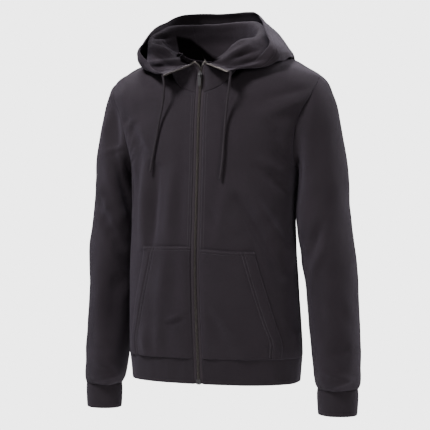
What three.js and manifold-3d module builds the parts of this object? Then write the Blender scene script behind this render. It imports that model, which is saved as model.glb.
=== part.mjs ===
// A zip up hoodie of brushed sweatshirt cloth, filled out as worn with nobody in it.
// Millimetres. +Z up, the wearer's left at +X, the front towards -Y.
// The origin is between the shoulders, level with the lowest part of the neck's sides.
import * as THREE from "three";
import Module from "manifold-3d";

const wasm = await Module();
wasm.setup();

// Driving sizes
const CLOTH = 2.0; // wall of one layer of sweatshirt cloth
const SEAM_GAP = 0.3; // between two sewn pieces
const ZIP_HALF = 9.7; // from the zip's middle to the cloth's edge
const NECK_Z = 26; // the neck's side, where the shoulder seam starts
const NECK_HALF = 80;
const FRONT_NECK_DROP = 101;
const BACK_NECK_DROP = 16;
const SHOULDER_TIP_Z = -38;
const ARMPIT_Z = -235;
const HEM_SEAM_Z = -616;
const HEM_Z = -668;
const CUFF_SEAM_Z = -678;
const CUFF_Z = -729;
const POCKET_TOP_Z = -390;
const POCKET_SLANT_END_Z = -580;
const POCKET_TOP_HALF = 119; // from the middle to the pocket mouth's upper end
const POCKET_LOW_HALF = 164; // and to its lower end
const ARMHOLE_FRONT_TURN = 32; // degrees that the armhole is cut in from the side
const ARMHOLE_BACK_TURN = 29;

// Level sections of the body: half width, depth of front and back from the side seam,
// the side seam's own place, and how square the section is (2 is an ellipse).
const BODY = [
  { z: 34, half: 60, front: 16, back: 10, side: 8, square: 2 },
  { z: 26, half: 80, front: 22, back: 14, side: 8, square: 2 },
  { z: 18, half: 110, front: 32, back: 26, side: 8, square: 2 },
  { z: 10, half: 140, front: 43, back: 38, side: 8, square: 2 },
  { z: 0, half: 167, front: 56, back: 52, side: 8, square: 2 },
  { z: -17, half: 197, front: 74, back: 70, side: 8, square: 2 },
  { z: -29, half: 217, front: 84, back: 78, side: 8, square: 2 },
  { z: -38, half: 229, front: 90, back: 84, side: 8, square: 2 },
  { z: -50, half: 237, front: 97, back: 90, side: 8, square: 2 },
  { z: -75, half: 239, front: 105, back: 98, side: 8, square: 2.2 },
  { z: -110, half: 230, front: 111, back: 104, side: 8, square: 2.2 },
  { z: -150, half: 213, front: 115, back: 106, side: 8, square: 2.4 },
  { z: -200, half: 192, front: 115, back: 107, side: 5, square: 2.4 },
  { z: -235, half: 182, front: 112, back: 109, side: 0, square: 2.4 },
  { z: -280, half: 177.5, front: 110, back: 110, side: -6, square: 2.4 },
  { z: -330, half: 176, front: 109, back: 109, side: -10, square: 2.4 },
  { z: -400, half: 178, front: 110, back: 108, side: -14, square: 2.4 },
  { z: -500, half: 182, front: 107, back: 108, side: -14, square: 2.4 },
  { z: -580, half: 185.5, front: 104, back: 107, side: -9, square: 2.4 },
  { z: -616, half: 186, front: 103, back: 106, side: -6, square: 2.4 },
  { z: -640, half: 184, front: 102, back: 103, side: -4, square: 2.4 },
  { z: -668, half: 182, front: 101, back: 101, side: -3, square: 2.4 },
];

// The largest folds of the body: a soft ridge (or, with a negative rise, a trough) from
// one place to another. turn is degrees round from the front, wearer's left positive.
const BODY_FOLDS = [
  { turn: -52, z: -165, endTurn: -66, endZ: -330, width: 15, rise: 5.5 },
  { turn: -40, z: -190, endTurn: -52, endZ: -380, width: 17, rise: -4 },
  { turn: -58, z: -118, endTurn: -44, endZ: -140, width: 13, rise: -3.5 },
  { turn: -72, z: -300, endTurn: -78, endZ: -520, width: 16, rise: 3 },
  { turn: 22, z: -330, endTurn: 52, endZ: -455, width: 20, rise: -4.5 },
  { turn: 30, z: -270, endTurn: 62, endZ: -400, width: 18, rise: 3 },
  { turn: 36, z: -105, endTurn: 60, endZ: -88, width: 16, rise: 3.5 },
  { turn: 46, z: -150, endTurn: 60, endZ: -250, width: 16, rise: -3 },
  { turn: 64, z: -560, endTurn: 84, endZ: -610, width: 16, rise: 3.5 },
  { turn: -28, z: -470, endTurn: -12, endZ: -455, width: 14, rise: 2 },
  { turn: 140, z: -150, endTurn: 125, endZ: -300, width: 20, rise: -4 },
  { turn: 152, z: -260, endTurn: 118, endZ: -420, width: 22, rise: 4 },
  { turn: -140, z: -150, endTurn: -124, endZ: -310, width: 20, rise: -4 },
  { turn: -154, z: -280, endTurn: -120, endZ: -430, width: 22, rise: 4 },
  { turn: 172, z: -330, endTurn: 165, endZ: -560, width: 22, rise: -3 },
  { turn: -168, z: -380, endTurn: -150, endZ: -580, width: 22, rise: 3 },
];

// Level sections of a sleeve below the armpit: its middle and half sizes across and deep.
const SLEEVE = {
  left: [
    { z: -300, across: 232, deep: 8, halfAcross: 54.5, halfDeep: 65 },
    { z: -330, across: 234, deep: 8, halfAcross: 56, halfDeep: 65 },
    { z: -400, across: 243, deep: 0, halfAcross: 56, halfDeep: 59 },
    { z: -480, across: 252, deep: -3, halfAcross: 54, halfDeep: 56 },
    { z: -560, across: 259, deep: -6, halfAcross: 51.5, halfDeep: 52 },
    { z: -640, across: 264, deep: -8, halfAcross: 48, halfDeep: 48 },
    { z: -666, across: 265, deep: -9, halfAcross: 46, halfDeep: 43 },
    { z: -678, across: 265, deep: -9, halfAcross: 41.5, halfDeep: 34 },
  ],
  right: [
    { z: -300, across: 230, deep: 8, halfAcross: 52, halfDeep: 65 },
    { z: -330, across: 231, deep: 8, halfAcross: 52.5, halfDeep: 65 },
    { z: -400, across: 237, deep: 0, halfAcross: 52, halfDeep: 59 },
    { z: -480, across: 240, deep: -3, halfAcross: 50, halfDeep: 55 },
    { z: -560, across: 245, deep: -6, halfAcross: 48, halfDeep: 50 },
    { z: -640, across: 251, deep: -8, halfAcross: 45.5, halfDeep: 47 },
    { z: -666, across: 254, deep: -9, halfAcross: 44, halfDeep: 42 },
    { z: -678, across: 256.5, deep: -9, halfAcross: 40, halfDeep: 33 },
  ],
};
const SLEEVE_LOW_ROWS = [-325, -350, -375, -400, -430, -462, -495, -530, -565, -600, -632, -656, -669, -678];
const SLEEVE_CAP_STEPS = 7;

// The largest folds of a sleeve, as above; turn is from the underarm, front positive.
const SLEEVE_FOLDS = {
  right: [
    { turn: 178, z: -215, endTurn: 40, endZ: -345, width: 12, rise: 4.5 },
    { turn: 150, z: -255, endTurn: 36, endZ: -385, width: 15, rise: -5 },
    { turn: 110, z: -150, endTurn: 85, endZ: -180, width: 14, rise: -5 },
    { turn: 60, z: -470, endTurn: 10, endZ: -430, width: 14, rise: -4 },
    { turn: 150, z: -590, endTurn: 120, endZ: -650, width: 13, rise: 2.5 },
    { turn: -60, z: -420, endTurn: -120, endZ: -470, width: 16, rise: -4 },
    { turn: -50, z: -470, endTurn: -130, endZ: -520, width: 15, rise: 3 },
  ],
  left: [
    { turn: 30, z: -400, endTurn: 70, endZ: -370, width: 13, rise: -4.5 },
    { turn: 24, z: -455, endTurn: 64, endZ: -420, width: 14, rise: -4 },
    { turn: 28, z: -425, endTurn: 66, endZ: -395, width: 12, rise: 2.5 },
    { turn: 100, z: -180, endTurn: 70, endZ: -250, width: 18, rise: -3 },
    { turn: 80, z: -600, endTurn: 120, endZ: -645, width: 13, rise: 2.5 },
    { turn: -60, z: -430, endTurn: -120, endZ: -480, width: 16, rise: -4 },
    { turn: -50, z: -480, endTurn: -130, endZ: -530, width: 15, rise: 3 },
  ],
};

// Sections of the hood from the middle of the back to the front edge, wearer's left side.
// seam is how far round the neck seam it starts, in degrees from the middle of the front.
// Then come a place on the stand, the roll at its top, the far side of that roll, the
// bag's inner wall, its bottom, its fullest place outside, its upper part and the rim.
const HOOD = [
  { seam: 180, stand: [0, 56, 48], roll: [0, 48, 90], over: [0, 66, 88], wall: [0, 96, 0], bottom: [0, 130, -78], belly: [0, 150, -30], upper: [0, 148, 45], rim: [0, 95, 124] },
  { seam: 155, stand: [42, 54, 46], roll: [50, 46, 90], over: [56, 63, 87], wall: [69, 95, -3], bottom: [82, 124, -66], belly: [90, 140, -20], upper: [86, 134, 50], rim: [45, 90, 123] },
  { seam: 129, stand: [76, 38, 42], roll: [90, 32, 86], over: [100, 44, 83], wall: [118, 68, 15], bottom: [134, 92, -34], belly: [144, 98, 0], upper: [133, 90, 58], rim: [85, 68, 117] },
  { seam: 103, stand: [94, 14, 32], roll: [113, 8, 72], over: [124, 14, 70], wall: [140, 29, 25], bottom: [156, 46, -12], belly: [166, 46, 10], upper: [150, 38, 52], rim: [110, 38, 98] },
  { seam: 88, stand: [97, -8, 37], roll: [128, -20, 55], over: [138, -18, 52], wall: [148, -11, 18], bottom: [162, -6, -10], belly: [172, -12, 8], upper: [158, -14, 38], rim: [128, -2, 76] },
  { seam: 74, stand: [90, -44, 5], roll: [112, -46, 38], over: [124, -48, 36], wall: [139, -51, 8], bottom: [156, -54, -14], belly: [165, -55, 0], upper: [158, -55, 20], rim: [143, -42, 42] },
  { seam: 52, stand: [72, -75, -12], roll: [86, -63, 29], over: [97, -66, 26], wall: [112, -70, 6], bottom: [140, -68, -21], belly: [152, -68, -12], upper: [155, -70, 4], rim: [149, -70, 18] },
  { seam: 32, stand: [46, -88, -32], roll: [60, -76, 8], over: [70, -80, 2], wall: [84, -82, -10], bottom: [108, -80, -27], belly: [115, -83, -26], upper: [118, -85, -22], rim: [114, -87, -17] },
  { seam: 14, stand: [21, -95, -48], roll: [26, -93, -15], over: [40, -97, -14], wall: [56, -99, -21], bottom: [74, -101, -30], belly: [81, -104, -32], upper: [85, -106, -32], rim: [85, -108, -32] },
  { seam: 0, stand: [9.7, -93, -52], roll: [9.7, -92, -26], over: [16, -94, -19], wall: [29, -99, -20], bottom: [43, -106, -27], belly: [55, -111, -32], upper: [64, -115, -35.5], rim: [72, -117, -38] },
];
const HOOD_CENTRE_STATION = 1; // the section that the middle panel's seam follows
const HOOD_COLUMNS_PER_STATION = 2;
const HOOD_ROWS_PER_STRETCH = [2, 2, 2, 3, 3, 2, 2, 2];
const HOOD_PULL = -22; // the hood sits to the wearer's right, most at its top
const HOOD_RIGHT_TUCK = 12; // and its right side lies closer in
const RIGHT_SHOULDER_RISE = 8; // the right shoulder stands higher
const RIGHT_ARM_DROP = 10; // and that arm hangs lower
const LEFT_FRONT_SAG = 11;

const ZIP_TOP_OPEN = 88; // free length of each zip half above the slider, for the record
const CORD_WIDTH = 5;
const CORD_SIDES = 8;

// Colours
const material = (color, roughness, metalness = 0) =>
  new THREE.MeshStandardMaterial({ color, roughness, metalness });
const CLOTH_BLACK = material(0x2b292c, 0.95);
const RIB_BLACK = material(0x29272b, 0.95);
const TAPE_BLACK = material(0x1c1b1e, 0.9);
const CORD_BLACK = material(0x2a282b, 0.9);
const DARK_METAL = material(0x8f8f92, 0.35, 1);

// Small sums
const clamp01 = (t) => Math.min(1, Math.max(0, t));
const mix = (a, b, t) => a + (b - a) * t;
const ease = (t) => {
  const c = clamp01(t);
  return c * c * (3 - 2 * c);
};
const rad = (degrees) => (degrees * Math.PI) / 180;

// A value between the rows of a list of knots and values, as a smooth curve.
function smoothBetween(knots, values, at) {
  const last = knots.length - 1;
  const down = knots[last] < knots[0] ? -1 : 1;
  let i = 0;
  while (i < last - 1 && (at - knots[i + 1]) * down > 0) i += 1;
  const gap = (k) => knots[k + 1] - knots[k];
  const slope = (k) => (values[k + 1] - values[k]) / gap(k);
  const tangent = (k) => {
    if (k === 0) return slope(0);
    if (k === last) return slope(last - 1);
    return (slope(k - 1) * gap(k) + slope(k) * gap(k - 1)) / (gap(k - 1) + gap(k));
  };
  const h = gap(i);
  const t = clamp01((at - knots[i]) / h);
  const t2 = t * t;
  const t3 = t2 * t;
  return (
    (2 * t3 - 3 * t2 + 1) * values[i] +
    (t3 - 2 * t2 + t) * h * tangent(i) +
    (3 * t2 - 2 * t3) * values[i + 1] +
    (t3 - t2) * h * tangent(i + 1)
  );
}

const columnReader = (table, name) => {
  const knots = table.map((row) => row.z);
  const values = table.map((row) => row[name]);
  return (z) => smoothBetween(knots, values, z);
};

// How high the folds raise a surface at a place; scale turns degrees into millimetres.
function foldRise(folds, turn, z, scale) {
  let rise = 0;
  for (const f of folds) {
    const ax = f.turn * scale;
    const bx = f.endTurn * scale;
    const dx = bx - ax;
    const dz = f.endZ - f.z;
    const px = turn * scale - ax;
    const pz = z - f.z;
    const along = (px * dx + pz * dz) / (dx * dx + dz * dz);
    const held = clamp01(along);
    const away = Math.hypot(px - held * dx, pz - held * dz) / f.width;
    const taper = 0.35 + 0.65 * Math.sin(Math.PI * (0.12 + 0.76 * held));
    rise += f.rise * taper * Math.exp(-away * away);
  }
  return rise;
}

// The garment hangs a little unevenly: the right shoulder is raised and the arm long.
function settle(p, arm = false) {
  const side = ease((-p.x - 90) / 140);
  const drop = mix(-RIGHT_SHOULDER_RISE, RIGHT_ARM_DROP, ease((-p.z - 60) / 420));
  const fade = arm ? 1 : 1 - ease((ARMPIT_Z - p.z) / 160);
  return new THREE.Vector3(p.x, p.y, p.z - drop * side * fade);
}

// Body surface
const bodyAt = Object.fromEntries(
  ["half", "front", "back", "side", "square"].map((name) => [name, columnReader(BODY, name)]),
);
const BODY_MM_PER_DEGREE = 2.9;

function bodyBase(turn, z) {
  const s = Math.sin(rad(turn));
  const c = Math.cos(rad(turn));
  const n = bodyAt.square(z);
  const size = Math.pow(Math.pow(Math.abs(s), n) + Math.pow(Math.abs(c), n), 1 / n);
  const depth = c > 0 ? bodyAt.front(z) : bodyAt.back(z);
  return new THREE.Vector3((bodyAt.half(z) * s) / size, bodyAt.side(z) - (depth * c) / size, z);
}

function normalFrom(surface, u, v, du, dv) {
  const across = surface(u + du, v).sub(surface(u - du, v));
  const up = surface(u, v + dv).sub(surface(u, v - dv));
  return across.cross(up).normalize();
}

function bodySurface(turn, z) {
  const wrapped = turn > 180 ? turn - 360 : turn;
  const rise = foldRise(BODY_FOLDS, wrapped, z, BODY_MM_PER_DEGREE);
  const flatZip = ease((Math.abs(wrapped) - 6) / 10);
  const underSeams = z > -75 ? ease((-z + 5) / 70) : 1;
  const p = bodyBase(turn, z);
  if (Math.abs(rise) < 1e-4) return p;
  return p.addScaledVector(normalFrom(bodyBase, turn, z, 0.4, 0.8), rise * flatZip * underSeams);
}

const bodyNormal = (turn, z) => normalFrom(bodySurface, turn, z, 0.4, 0.8);

// The turn of the place at a given distance from the middle, at a height.
function turnAt(x, z) {
  const n = bodyAt.square(z);
  const share = Math.min(1, x / bodyAt.half(z));
  const depth = Math.pow(1 - Math.pow(share, n), 1 / n);
  return (Math.atan2(share, depth) * 180) / Math.PI;
}

// Neck seam: beta is 0 at the middle of the front, 90 at the neck's side, 180 at the back.
function neckPlace(beta) {
  const front = beta <= 90;
  const drop = front
    ? FRONT_NECK_DROP * Math.pow(Math.abs(Math.cos(rad(beta))), 0.77)
    : BACK_NECK_DROP * Math.abs(Math.cos(rad(beta)));
  const z = NECK_Z - drop;
  const x = Math.max(front ? ZIP_HALF : 0, NECK_HALF * Math.sin(rad(beta)));
  const turn = beta === 90 ? 90 : turnAt(x, z);
  return { turn: front ? turn : 180 - turn, z };
}

// Armhole: share is 0 at the armpit and 1 at the shoulder's tip.
function armholePlace(share, front) {
  const z = mix(ARMPIT_Z, SHOULDER_TIP_Z, (1 - Math.cos(Math.PI * share)) / 2);
  const cut = Math.max(0, Math.sin(Math.PI * share));
  const turn = front ? 90 - ARMHOLE_FRONT_TURN * cut : 90 + ARMHOLE_BACK_TURN * cut;
  return { turn, z };
}

// A closed wall from two matching grids of points, rows by columns.
function wallGeometry(outer, inner, ring = false, flip = false) {
  const rows = outer.length;
  const columns = outer[0].length;
  const points = [...outer.flat(), ...inner.flat()];
  const back = rows * columns;
  const index = [];
  const cell = (a, b, c, d, crossing) => {
    if (crossing) index.push(a, b, c, a, c, d);
    else index.push(a, b, d, b, c, d);
  };
  const wide = ring ? columns : columns - 1;
  for (let r = 0; r < rows - 1; r += 1) {
    for (let k = 0; k < wide; k += 1) {
      const next = (k + 1) % columns;
      const a = r * columns + k;
      const b = r * columns + next;
      const c = (r + 1) * columns + next;
      const d = (r + 1) * columns + k;
      cell(a, b, c, d, flip);
      cell(back + d, back + c, back + b, back + a, !flip);
    }
  }
  const rim = (a, b) => index.push(b, a, back + a, b, back + a, back + b);
  for (let k = 0; k < wide; k += 1) {
    const next = (k + 1) % columns;
    rim(k, next);
    rim((rows - 1) * columns + next, (rows - 1) * columns + k);
  }
  if (!ring) {
    for (let r = 0; r < rows - 1; r += 1) {
      rim((r + 1) * columns, r * columns);
      rim(r * columns + columns - 1, (r + 1) * columns + columns - 1);
    }
  }
  return closedGeometry(points, index);
}

function closedGeometry(points, index) {
  let volume = 0;
  for (let i = 0; i < index.length; i += 3) {
    const [a, b, c] = [points[index[i]], points[index[i + 1]], points[index[i + 2]]];
    volume += a.dot(b.clone().cross(c)) / 6;
  }
  const faces = [...index];
  if (volume < 0) {
    for (let i = 0; i < faces.length; i += 3) {
      [faces[i + 1], faces[i + 2]] = [faces[i + 2], faces[i + 1]];
    }
  }
  const geometry = new THREE.BufferGeometry();
  geometry.setAttribute("position", new THREE.Float32BufferAttribute(points.flatMap((p) => p.toArray()), 3));
  geometry.setIndex(faces);
  geometry.computeVertexNormals();
  return geometry;
}

const garment = new THREE.Group();
function piece(name, geometry, look) {
  const mesh = new THREE.Mesh(geometry, look);
  mesh.name = name;
  garment.add(mesh);
  return mesh;
}

// A wall whose outer points are given with the unit normals that its thickness follows.
function clothWall(name, grid, look, options = {}) {
  const { thickness = CLOTH, raise = 0, ring = false, flip = false } = options;
  const place = (g, lift) => settle(g.p.clone().addScaledVector(g.n, lift), ring);
  const outer = grid.map((row) => row.map((g) => place(g, raise)));
  const inner = grid.map((row) => row.map((g) => place(g, raise - thickness)));
  return piece(name, wallGeometry(outer, inner, ring, flip), look);
}

const mirrorX = (v) => new THREE.Vector3(-v.x, v.y, v.z);

// Front panels
// Rows run from the hem seam to the shoulder seam. Each has a place on the front edge
// (then the neck seam) and one on the side seam (then the armhole).
const SIDE_ROWS = [HEM_SEAM_Z, POCKET_SLANT_END_Z, -552, -524, -496, -464, -428, POCKET_TOP_Z, -358, -328, -298, -268, ARMPIT_Z];
const POCKET_ROW_FIRST = 0;
const POCKET_ROW_LAST = 7;
const ARMHOLE_ROWS = 10;
const EDGE_ROWS_ABOVE_POCKET = [-350, -310, -270, -232, -194, -158, -124, -98, NECK_Z - FRONT_NECK_DROP];
const NECK_ROWS = SIDE_ROWS.length - 1 + ARMHOLE_ROWS - POCKET_ROW_LAST - EDGE_ROWS_ABOVE_POCKET.length;
const FRONT_COLUMNS = 12;
const POCKET_COLUMN = 7;

function pocketEdgeTurn(z) {
  const t = clamp01((z - POCKET_SLANT_END_Z) / (POCKET_TOP_Z - POCKET_SLANT_END_Z));
  return turnAt(mix(POCKET_LOW_HALF, POCKET_TOP_HALF, t), z);
}

const CREEP = 0.3; // half of the seam gap, moved in from a seam line, in millimetres and more

function frontRowEnds(row) {
  const inSide = row < SIDE_ROWS.length;
  const outer = inSide
    ? { turn: 90, z: SIDE_ROWS[row] }
    : armholePlace((row - SIDE_ROWS.length + 1) / ARMHOLE_ROWS, true);
  let inner;
  if (row <= POCKET_ROW_LAST) {
    inner = { turn: turnAt(ZIP_HALF, SIDE_ROWS[row]), z: SIDE_ROWS[row] };
  } else if (row <= POCKET_ROW_LAST + EDGE_ROWS_ABOVE_POCKET.length) {
    const z = EDGE_ROWS_ABOVE_POCKET[row - POCKET_ROW_LAST - 1];
    inner = { turn: turnAt(ZIP_HALF, z), z };
  } else {
    const k = row - POCKET_ROW_LAST - EDGE_ROWS_ABOVE_POCKET.length;
    inner = neckPlace(neckBeta(k));
  }
  return { inner, outer };
}

// The neck seam's rows are shared with the hood: degrees round at row k of the front neck.
function neckBeta(k) {
  return (90 * k) / NECK_ROWS;
}

function frontPlaces(side) {
  const rows = SIDE_ROWS.length - 1 + ARMHOLE_ROWS;
  const places = [];
  for (let r = 0; r <= rows; r += 1) {
    const { inner, outer } = frontRowEnds(r);
    const line = [];
    for (let k = 0; k <= FRONT_COLUMNS; k += 1) {
      const plain = k / FRONT_COLUMNS;
      const level = mix(inner.z, outer.z, plain);
      const edge = (pocketEdgeTurn(level) - inner.turn) / (outer.turn - inner.turn || 1);
      const follow = ease((POCKET_TOP_Z + 110 - level) / 100);
      const knee = mix(POCKET_COLUMN / FRONT_COLUMNS, edge, follow);
      const across =
        k <= POCKET_COLUMN
          ? (knee * k) / POCKET_COLUMN
          : mix(knee, 1, (k - POCKET_COLUMN) / (FRONT_COLUMNS - POCKET_COLUMN));
      const turn = mix(inner.turn, outer.turn, across);
      let z = mix(inner.z, outer.z, r <= POCKET_ROW_LAST ? 0 : across);
      if (side > 0) z -= frontSag(turn, z);
      line.push({ turn, z });
    }
    places.push(line);
  }
  return places;
}

// The wearer's left front hangs a little lower round the pocket's top.
function frontSag(turn, z) {
  const across = mix(0.45, 1, ease(turn / 28)) * (1 - ease((turn - 52) / 34));
  const height = ease((z - POCKET_SLANT_END_Z) / (POCKET_TOP_Z - POCKET_SLANT_END_Z)) * (1 - ease((z - POCKET_TOP_Z - 20) / 150));
  return LEFT_FRONT_SAG * across * height;
}

// Moves a panel's border in from the seam lines that its neighbours share.
function creepInwards(points, edges) {
  const rows = points.length;
  const columns = points[0].length;
  const moved = points.map((row) => row.map((g) => ({ p: g.p.clone(), n: g.n })));
  const shift = (r, k, towardR, towardK, amount) => {
    const way = points[towardR][towardK].p.clone().sub(points[r][k].p).normalize();
    moved[r][k].p.addScaledVector(way, amount);
  };
  for (let k = 0; k < columns; k += 1) {
    if (edges.low) shift(0, k, 1, k, edges.low);
    if (edges.top) shift(rows - 1, k, rows - 2, k, edges.top);
  }
  for (let r = 0; r < rows; r += 1) {
    if (edges.start) shift(r, 0, r, 1, edges.start);
    if (edges.end) shift(r, columns - 1, r, columns - 2, edges.end);
  }
  return moved;
}

const onBody = (place, side) => ({
  p: bodySurface(side * place.turn, place.z),
  n: bodyNormal(side * place.turn, place.z),
});

const frontGrid = {};
for (const [name, side] of [["left", 1], ["right", -1]]) {
  const grid = frontPlaces(side).map((row) => row.map((place) => onBody(place, side)));
  frontGrid[name] = grid;
  const seams = { low: SEAM_GAP / 2, top: SEAM_GAP / 2 + CREEP, end: SEAM_GAP / 2 + CREEP, start: 0 };
  clothWall("front_" + name, creepInwards(grid, seams), CLOTH_BLACK, { flip: side > 0 });
}

// Back panel
// Columns run from the right side seam to the left; the top row follows the shoulder
// seams and the back of the neck.
const BACK_HALF_COLUMNS = 11;
const BACK_SHOULDER_COLUMNS = 5;

function backPlaces() {
  const rows = SIDE_ROWS.length - 1 + ARMHOLE_ROWS;
  const neckColumns = BACK_HALF_COLUMNS - BACK_SHOULDER_COLUMNS;
  const topPlace = (k) => {
    if (k <= BACK_SHOULDER_COLUMNS) return { turn: 90, z: mix(SHOULDER_TIP_Z, NECK_Z, k / BACK_SHOULDER_COLUMNS) };
    return neckPlace(90 + (90 * (k - BACK_SHOULDER_COLUMNS)) / neckColumns);
  };
  const places = [];
  for (let r = 0; r <= rows; r += 1) {
    const inSide = r < SIDE_ROWS.length;
    const edge = inSide
      ? { turn: 90, z: SIDE_ROWS[r] }
      : armholePlace((r - SIDE_ROWS.length + 1) / ARMHOLE_ROWS, false);
    const share = r / rows;
    const topEdge = topPlace(0);
    const topMiddle = topPlace(BACK_HALF_COLUMNS);
    const middleZ = mix(HEM_SEAM_Z, topMiddle.z, share);
    const bend = Math.pow(share, 3);
    const half = [];
    for (let k = 0; k <= BACK_HALF_COLUMNS; k += 1) {
      // Straight across between the side edge and the middle line, and towards the top
      // row it takes on that row's shape.
      const across = k / BACK_HALF_COLUMNS;
      const top = topPlace(k);
      half.push({
        turn: mix(edge.turn, 180, across) + bend * (top.turn - mix(topEdge.turn, 180, across)),
        z: mix(edge.z, middleZ, across) + bend * (top.z - mix(topEdge.z, topMiddle.z, across)),
      });
    }
    places.push(half);
  }
  return places;
}

const backHalf = backPlaces();
const backGrid = backHalf.map((half) => {
  const right = half.map((place) => onBody(place, -1));
  const left = half.map((place) => onBody(place, 1));
  right[half.length - 1] = left[half.length - 1];
  return [...right, ...left.slice(0, -1).reverse()];
});
clothWall(
  "back",
  creepInwards(backGrid, {
    low: SEAM_GAP / 2,
    top: SEAM_GAP / 2 + CREEP,
    start: SEAM_GAP / 2 + CREEP,
    end: SEAM_GAP / 2 + CREEP,
  }),
  CLOTH_BLACK,
);

// Pockets: each lies on its front panel and is made from the panel's own points.
for (const name of ["left", "right"]) {
  const rows = frontGrid[name].slice(POCKET_ROW_FIRST, POCKET_ROW_LAST + 1);
  const grid = rows.map((row) => row.slice(0, POCKET_COLUMN + 1));
  clothWall("pocket_" + name, creepInwards(grid, { low: SEAM_GAP, start: 1.2 }), CLOTH_BLACK, {
    raise: SEAM_GAP + CLOTH,
    flip: name === "left",
  });
}

// Hem band: one strip from the zip, round the back, to the zip.
function hemTurns() {
  const front = frontPlaces(-1)[0].map((place) => place.turn);
  const back = backHalf[0].map((place) => place.turn);
  const right = [...front, ...back.slice(1)].map((turn) => -turn);
  const left = [...front, ...back.slice(1)].reverse().slice(1);
  return [...right, ...left];
}
const HEM_ROWS = [HEM_SEAM_Z - SEAM_GAP, -622, -640, -656, HEM_Z];
const hemGrid = HEM_ROWS.map((z) => hemTurns().map((turn) => onBody({ turn, z }, 1)));
clothWall("hem_band", hemGrid, RIB_BLACK, { thickness: 2.6 });

// Sleeves
const SLEEVE_MEASURES = ["across", "deep", "halfAcross", "halfDeep"];
const sleeveReaders = (name) =>
  Object.fromEntries(SLEEVE_MEASURES.map((measure) => [measure, columnReader(SLEEVE[name], measure)]));
const SLEEVE_AT = { left: sleeveReaders("left"), right: sleeveReaders("right") };
const SLEEVE_MM_PER_DEGREE = 1.0;

// A point of a sleeve below the cap. turn is 0 at the underarm, 90 in front, 180 outside.
function sleeveTube(name, turn, z) {
  const sleeveAt = SLEEVE_AT[name];
  const c = Math.cos(rad(turn));
  const s = Math.sin(rad(turn));
  return new THREE.Vector3(
    sleeveAt.across(z) - sleeveAt.halfAcross(z) * c,
    sleeveAt.deep(z) - sleeveAt.halfDeep(z) * s,
    z,
  );
}

const SLEEVE_CAP_LOW_Z = SLEEVE.left[0].z;

// The armhole's edge at a turn, as it is on the wearer's left; the right is mirrored.
function armholeEdge(name, turn) {
  const place = armholePlace(Math.abs(turn) / 180, turn >= 0);
  const edge = onBody(place, name === "left" ? 1 : -1);
  return name === "left" ? edge : { p: mirrorX(edge.p), n: mirrorX(edge.n) };
}

// The cap: each line runs from the armhole, turning down into the tube.
function sleeveCap(name, turn, t) {
  const start = armholeEdge(name, turn).p.clone();
  const end = sleeveTube(name, turn, SLEEVE_CAP_LOW_Z);
  const under = Math.pow(Math.max(0, Math.cos(rad(turn))), 2);
  const top = Math.pow(Math.max(0, -Math.cos(rad(turn))), 2);
  const reach = mix(66, 92, top);
  const leave = new THREE.Vector3(0.92 - 0.12 * under, 0, -0.4 + 1.2 * under + 0.06 * top).multiplyScalar(reach);
  const arrive = new THREE.Vector3(0, 0, -1).multiplyScalar(mix(70, 250, top) + 60 * (1 - under) * (1 - top));
  const t2 = t * t;
  const t3 = t2 * t;
  return start
    .multiplyScalar(2 * t3 - 3 * t2 + 1)
    .addScaledVector(leave, t3 - 2 * t2 + t)
    .addScaledVector(end, 3 * t2 - 2 * t3)
    .addScaledVector(arrive, t3 - t2);
}

function sleeveColumns() {
  const turns = [];
  for (let k = 0; k <= ARMHOLE_ROWS; k += 1) turns.push((180 * k) / ARMHOLE_ROWS);
  for (let k = ARMHOLE_ROWS - 1; k > 0; k -= 1) turns.push((-180 * k) / ARMHOLE_ROWS);
  return turns;
}

// The normal of a grid of points at one place, from its neighbours.
function gridNormal(points, r, k, ring) {
  const rows = points.length;
  const columns = points[0].length;
  const before = ring ? (k + columns - 1) % columns : Math.max(0, k - 1);
  const after = ring ? (k + 1) % columns : Math.min(columns - 1, k + 1);
  const across = points[r][after].clone().sub(points[r][before]);
  const along = points[Math.min(rows - 1, r + 1)][k].clone().sub(points[Math.max(0, r - 1)][k]);
  return across.cross(along).normalize();
}

function withNormals(points, ring, sign) {
  return points.map((row, r) => row.map((p, k) => ({ p: p.clone(), n: gridNormal(points, r, k, ring).multiplyScalar(sign) })));
}

function sleeveGrid(name) {
  const folds = SLEEVE_FOLDS[name];
  const turns = sleeveColumns();
  const points = [];
  for (let j = 0; j <= SLEEVE_CAP_STEPS; j += 1) {
    points.push(turns.map((turn) => sleeveCap(name, turn, Math.pow(j / SLEEVE_CAP_STEPS, 1.15))));
  }
  for (const z of SLEEVE_LOW_ROWS) points.push(turns.map((turn) => sleeveTube(name, turn, z)));
  const plain = withNormals(points, true, 1);
  const outward = plain[12][ARMHOLE_ROWS].n.x > 0 ? 1 : -1;
  const raised = plain.map((row, r) =>
    row.map((g, k) => {
      const fade = ease((r - 1) / 3) * ease((points.length - 1 - r) / 2);
      const rise = foldRise(folds, turns[k], g.p.z, SLEEVE_MM_PER_DEGREE) * fade;
      return g.p.clone().addScaledVector(g.n, outward * rise);
    }),
  );
  const grid = withNormals(raised, true, outward);
  // The first ring meets the armhole: same edge as the body panels, one seam gap away.
  grid[0].forEach((g, k) => {
    g.n = armholeEdge(name, turns[k]).n;
    const way = raised[1][k].clone().sub(g.p);
    way.addScaledVector(g.n, -way.dot(g.n)).normalize();
    const under = Math.max(0, Math.cos(rad(turns[k])));
    g.p.addScaledVector(way, SEAM_GAP / 2 + CREEP + 1.1 * under);
  });
  return grid;
}

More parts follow.
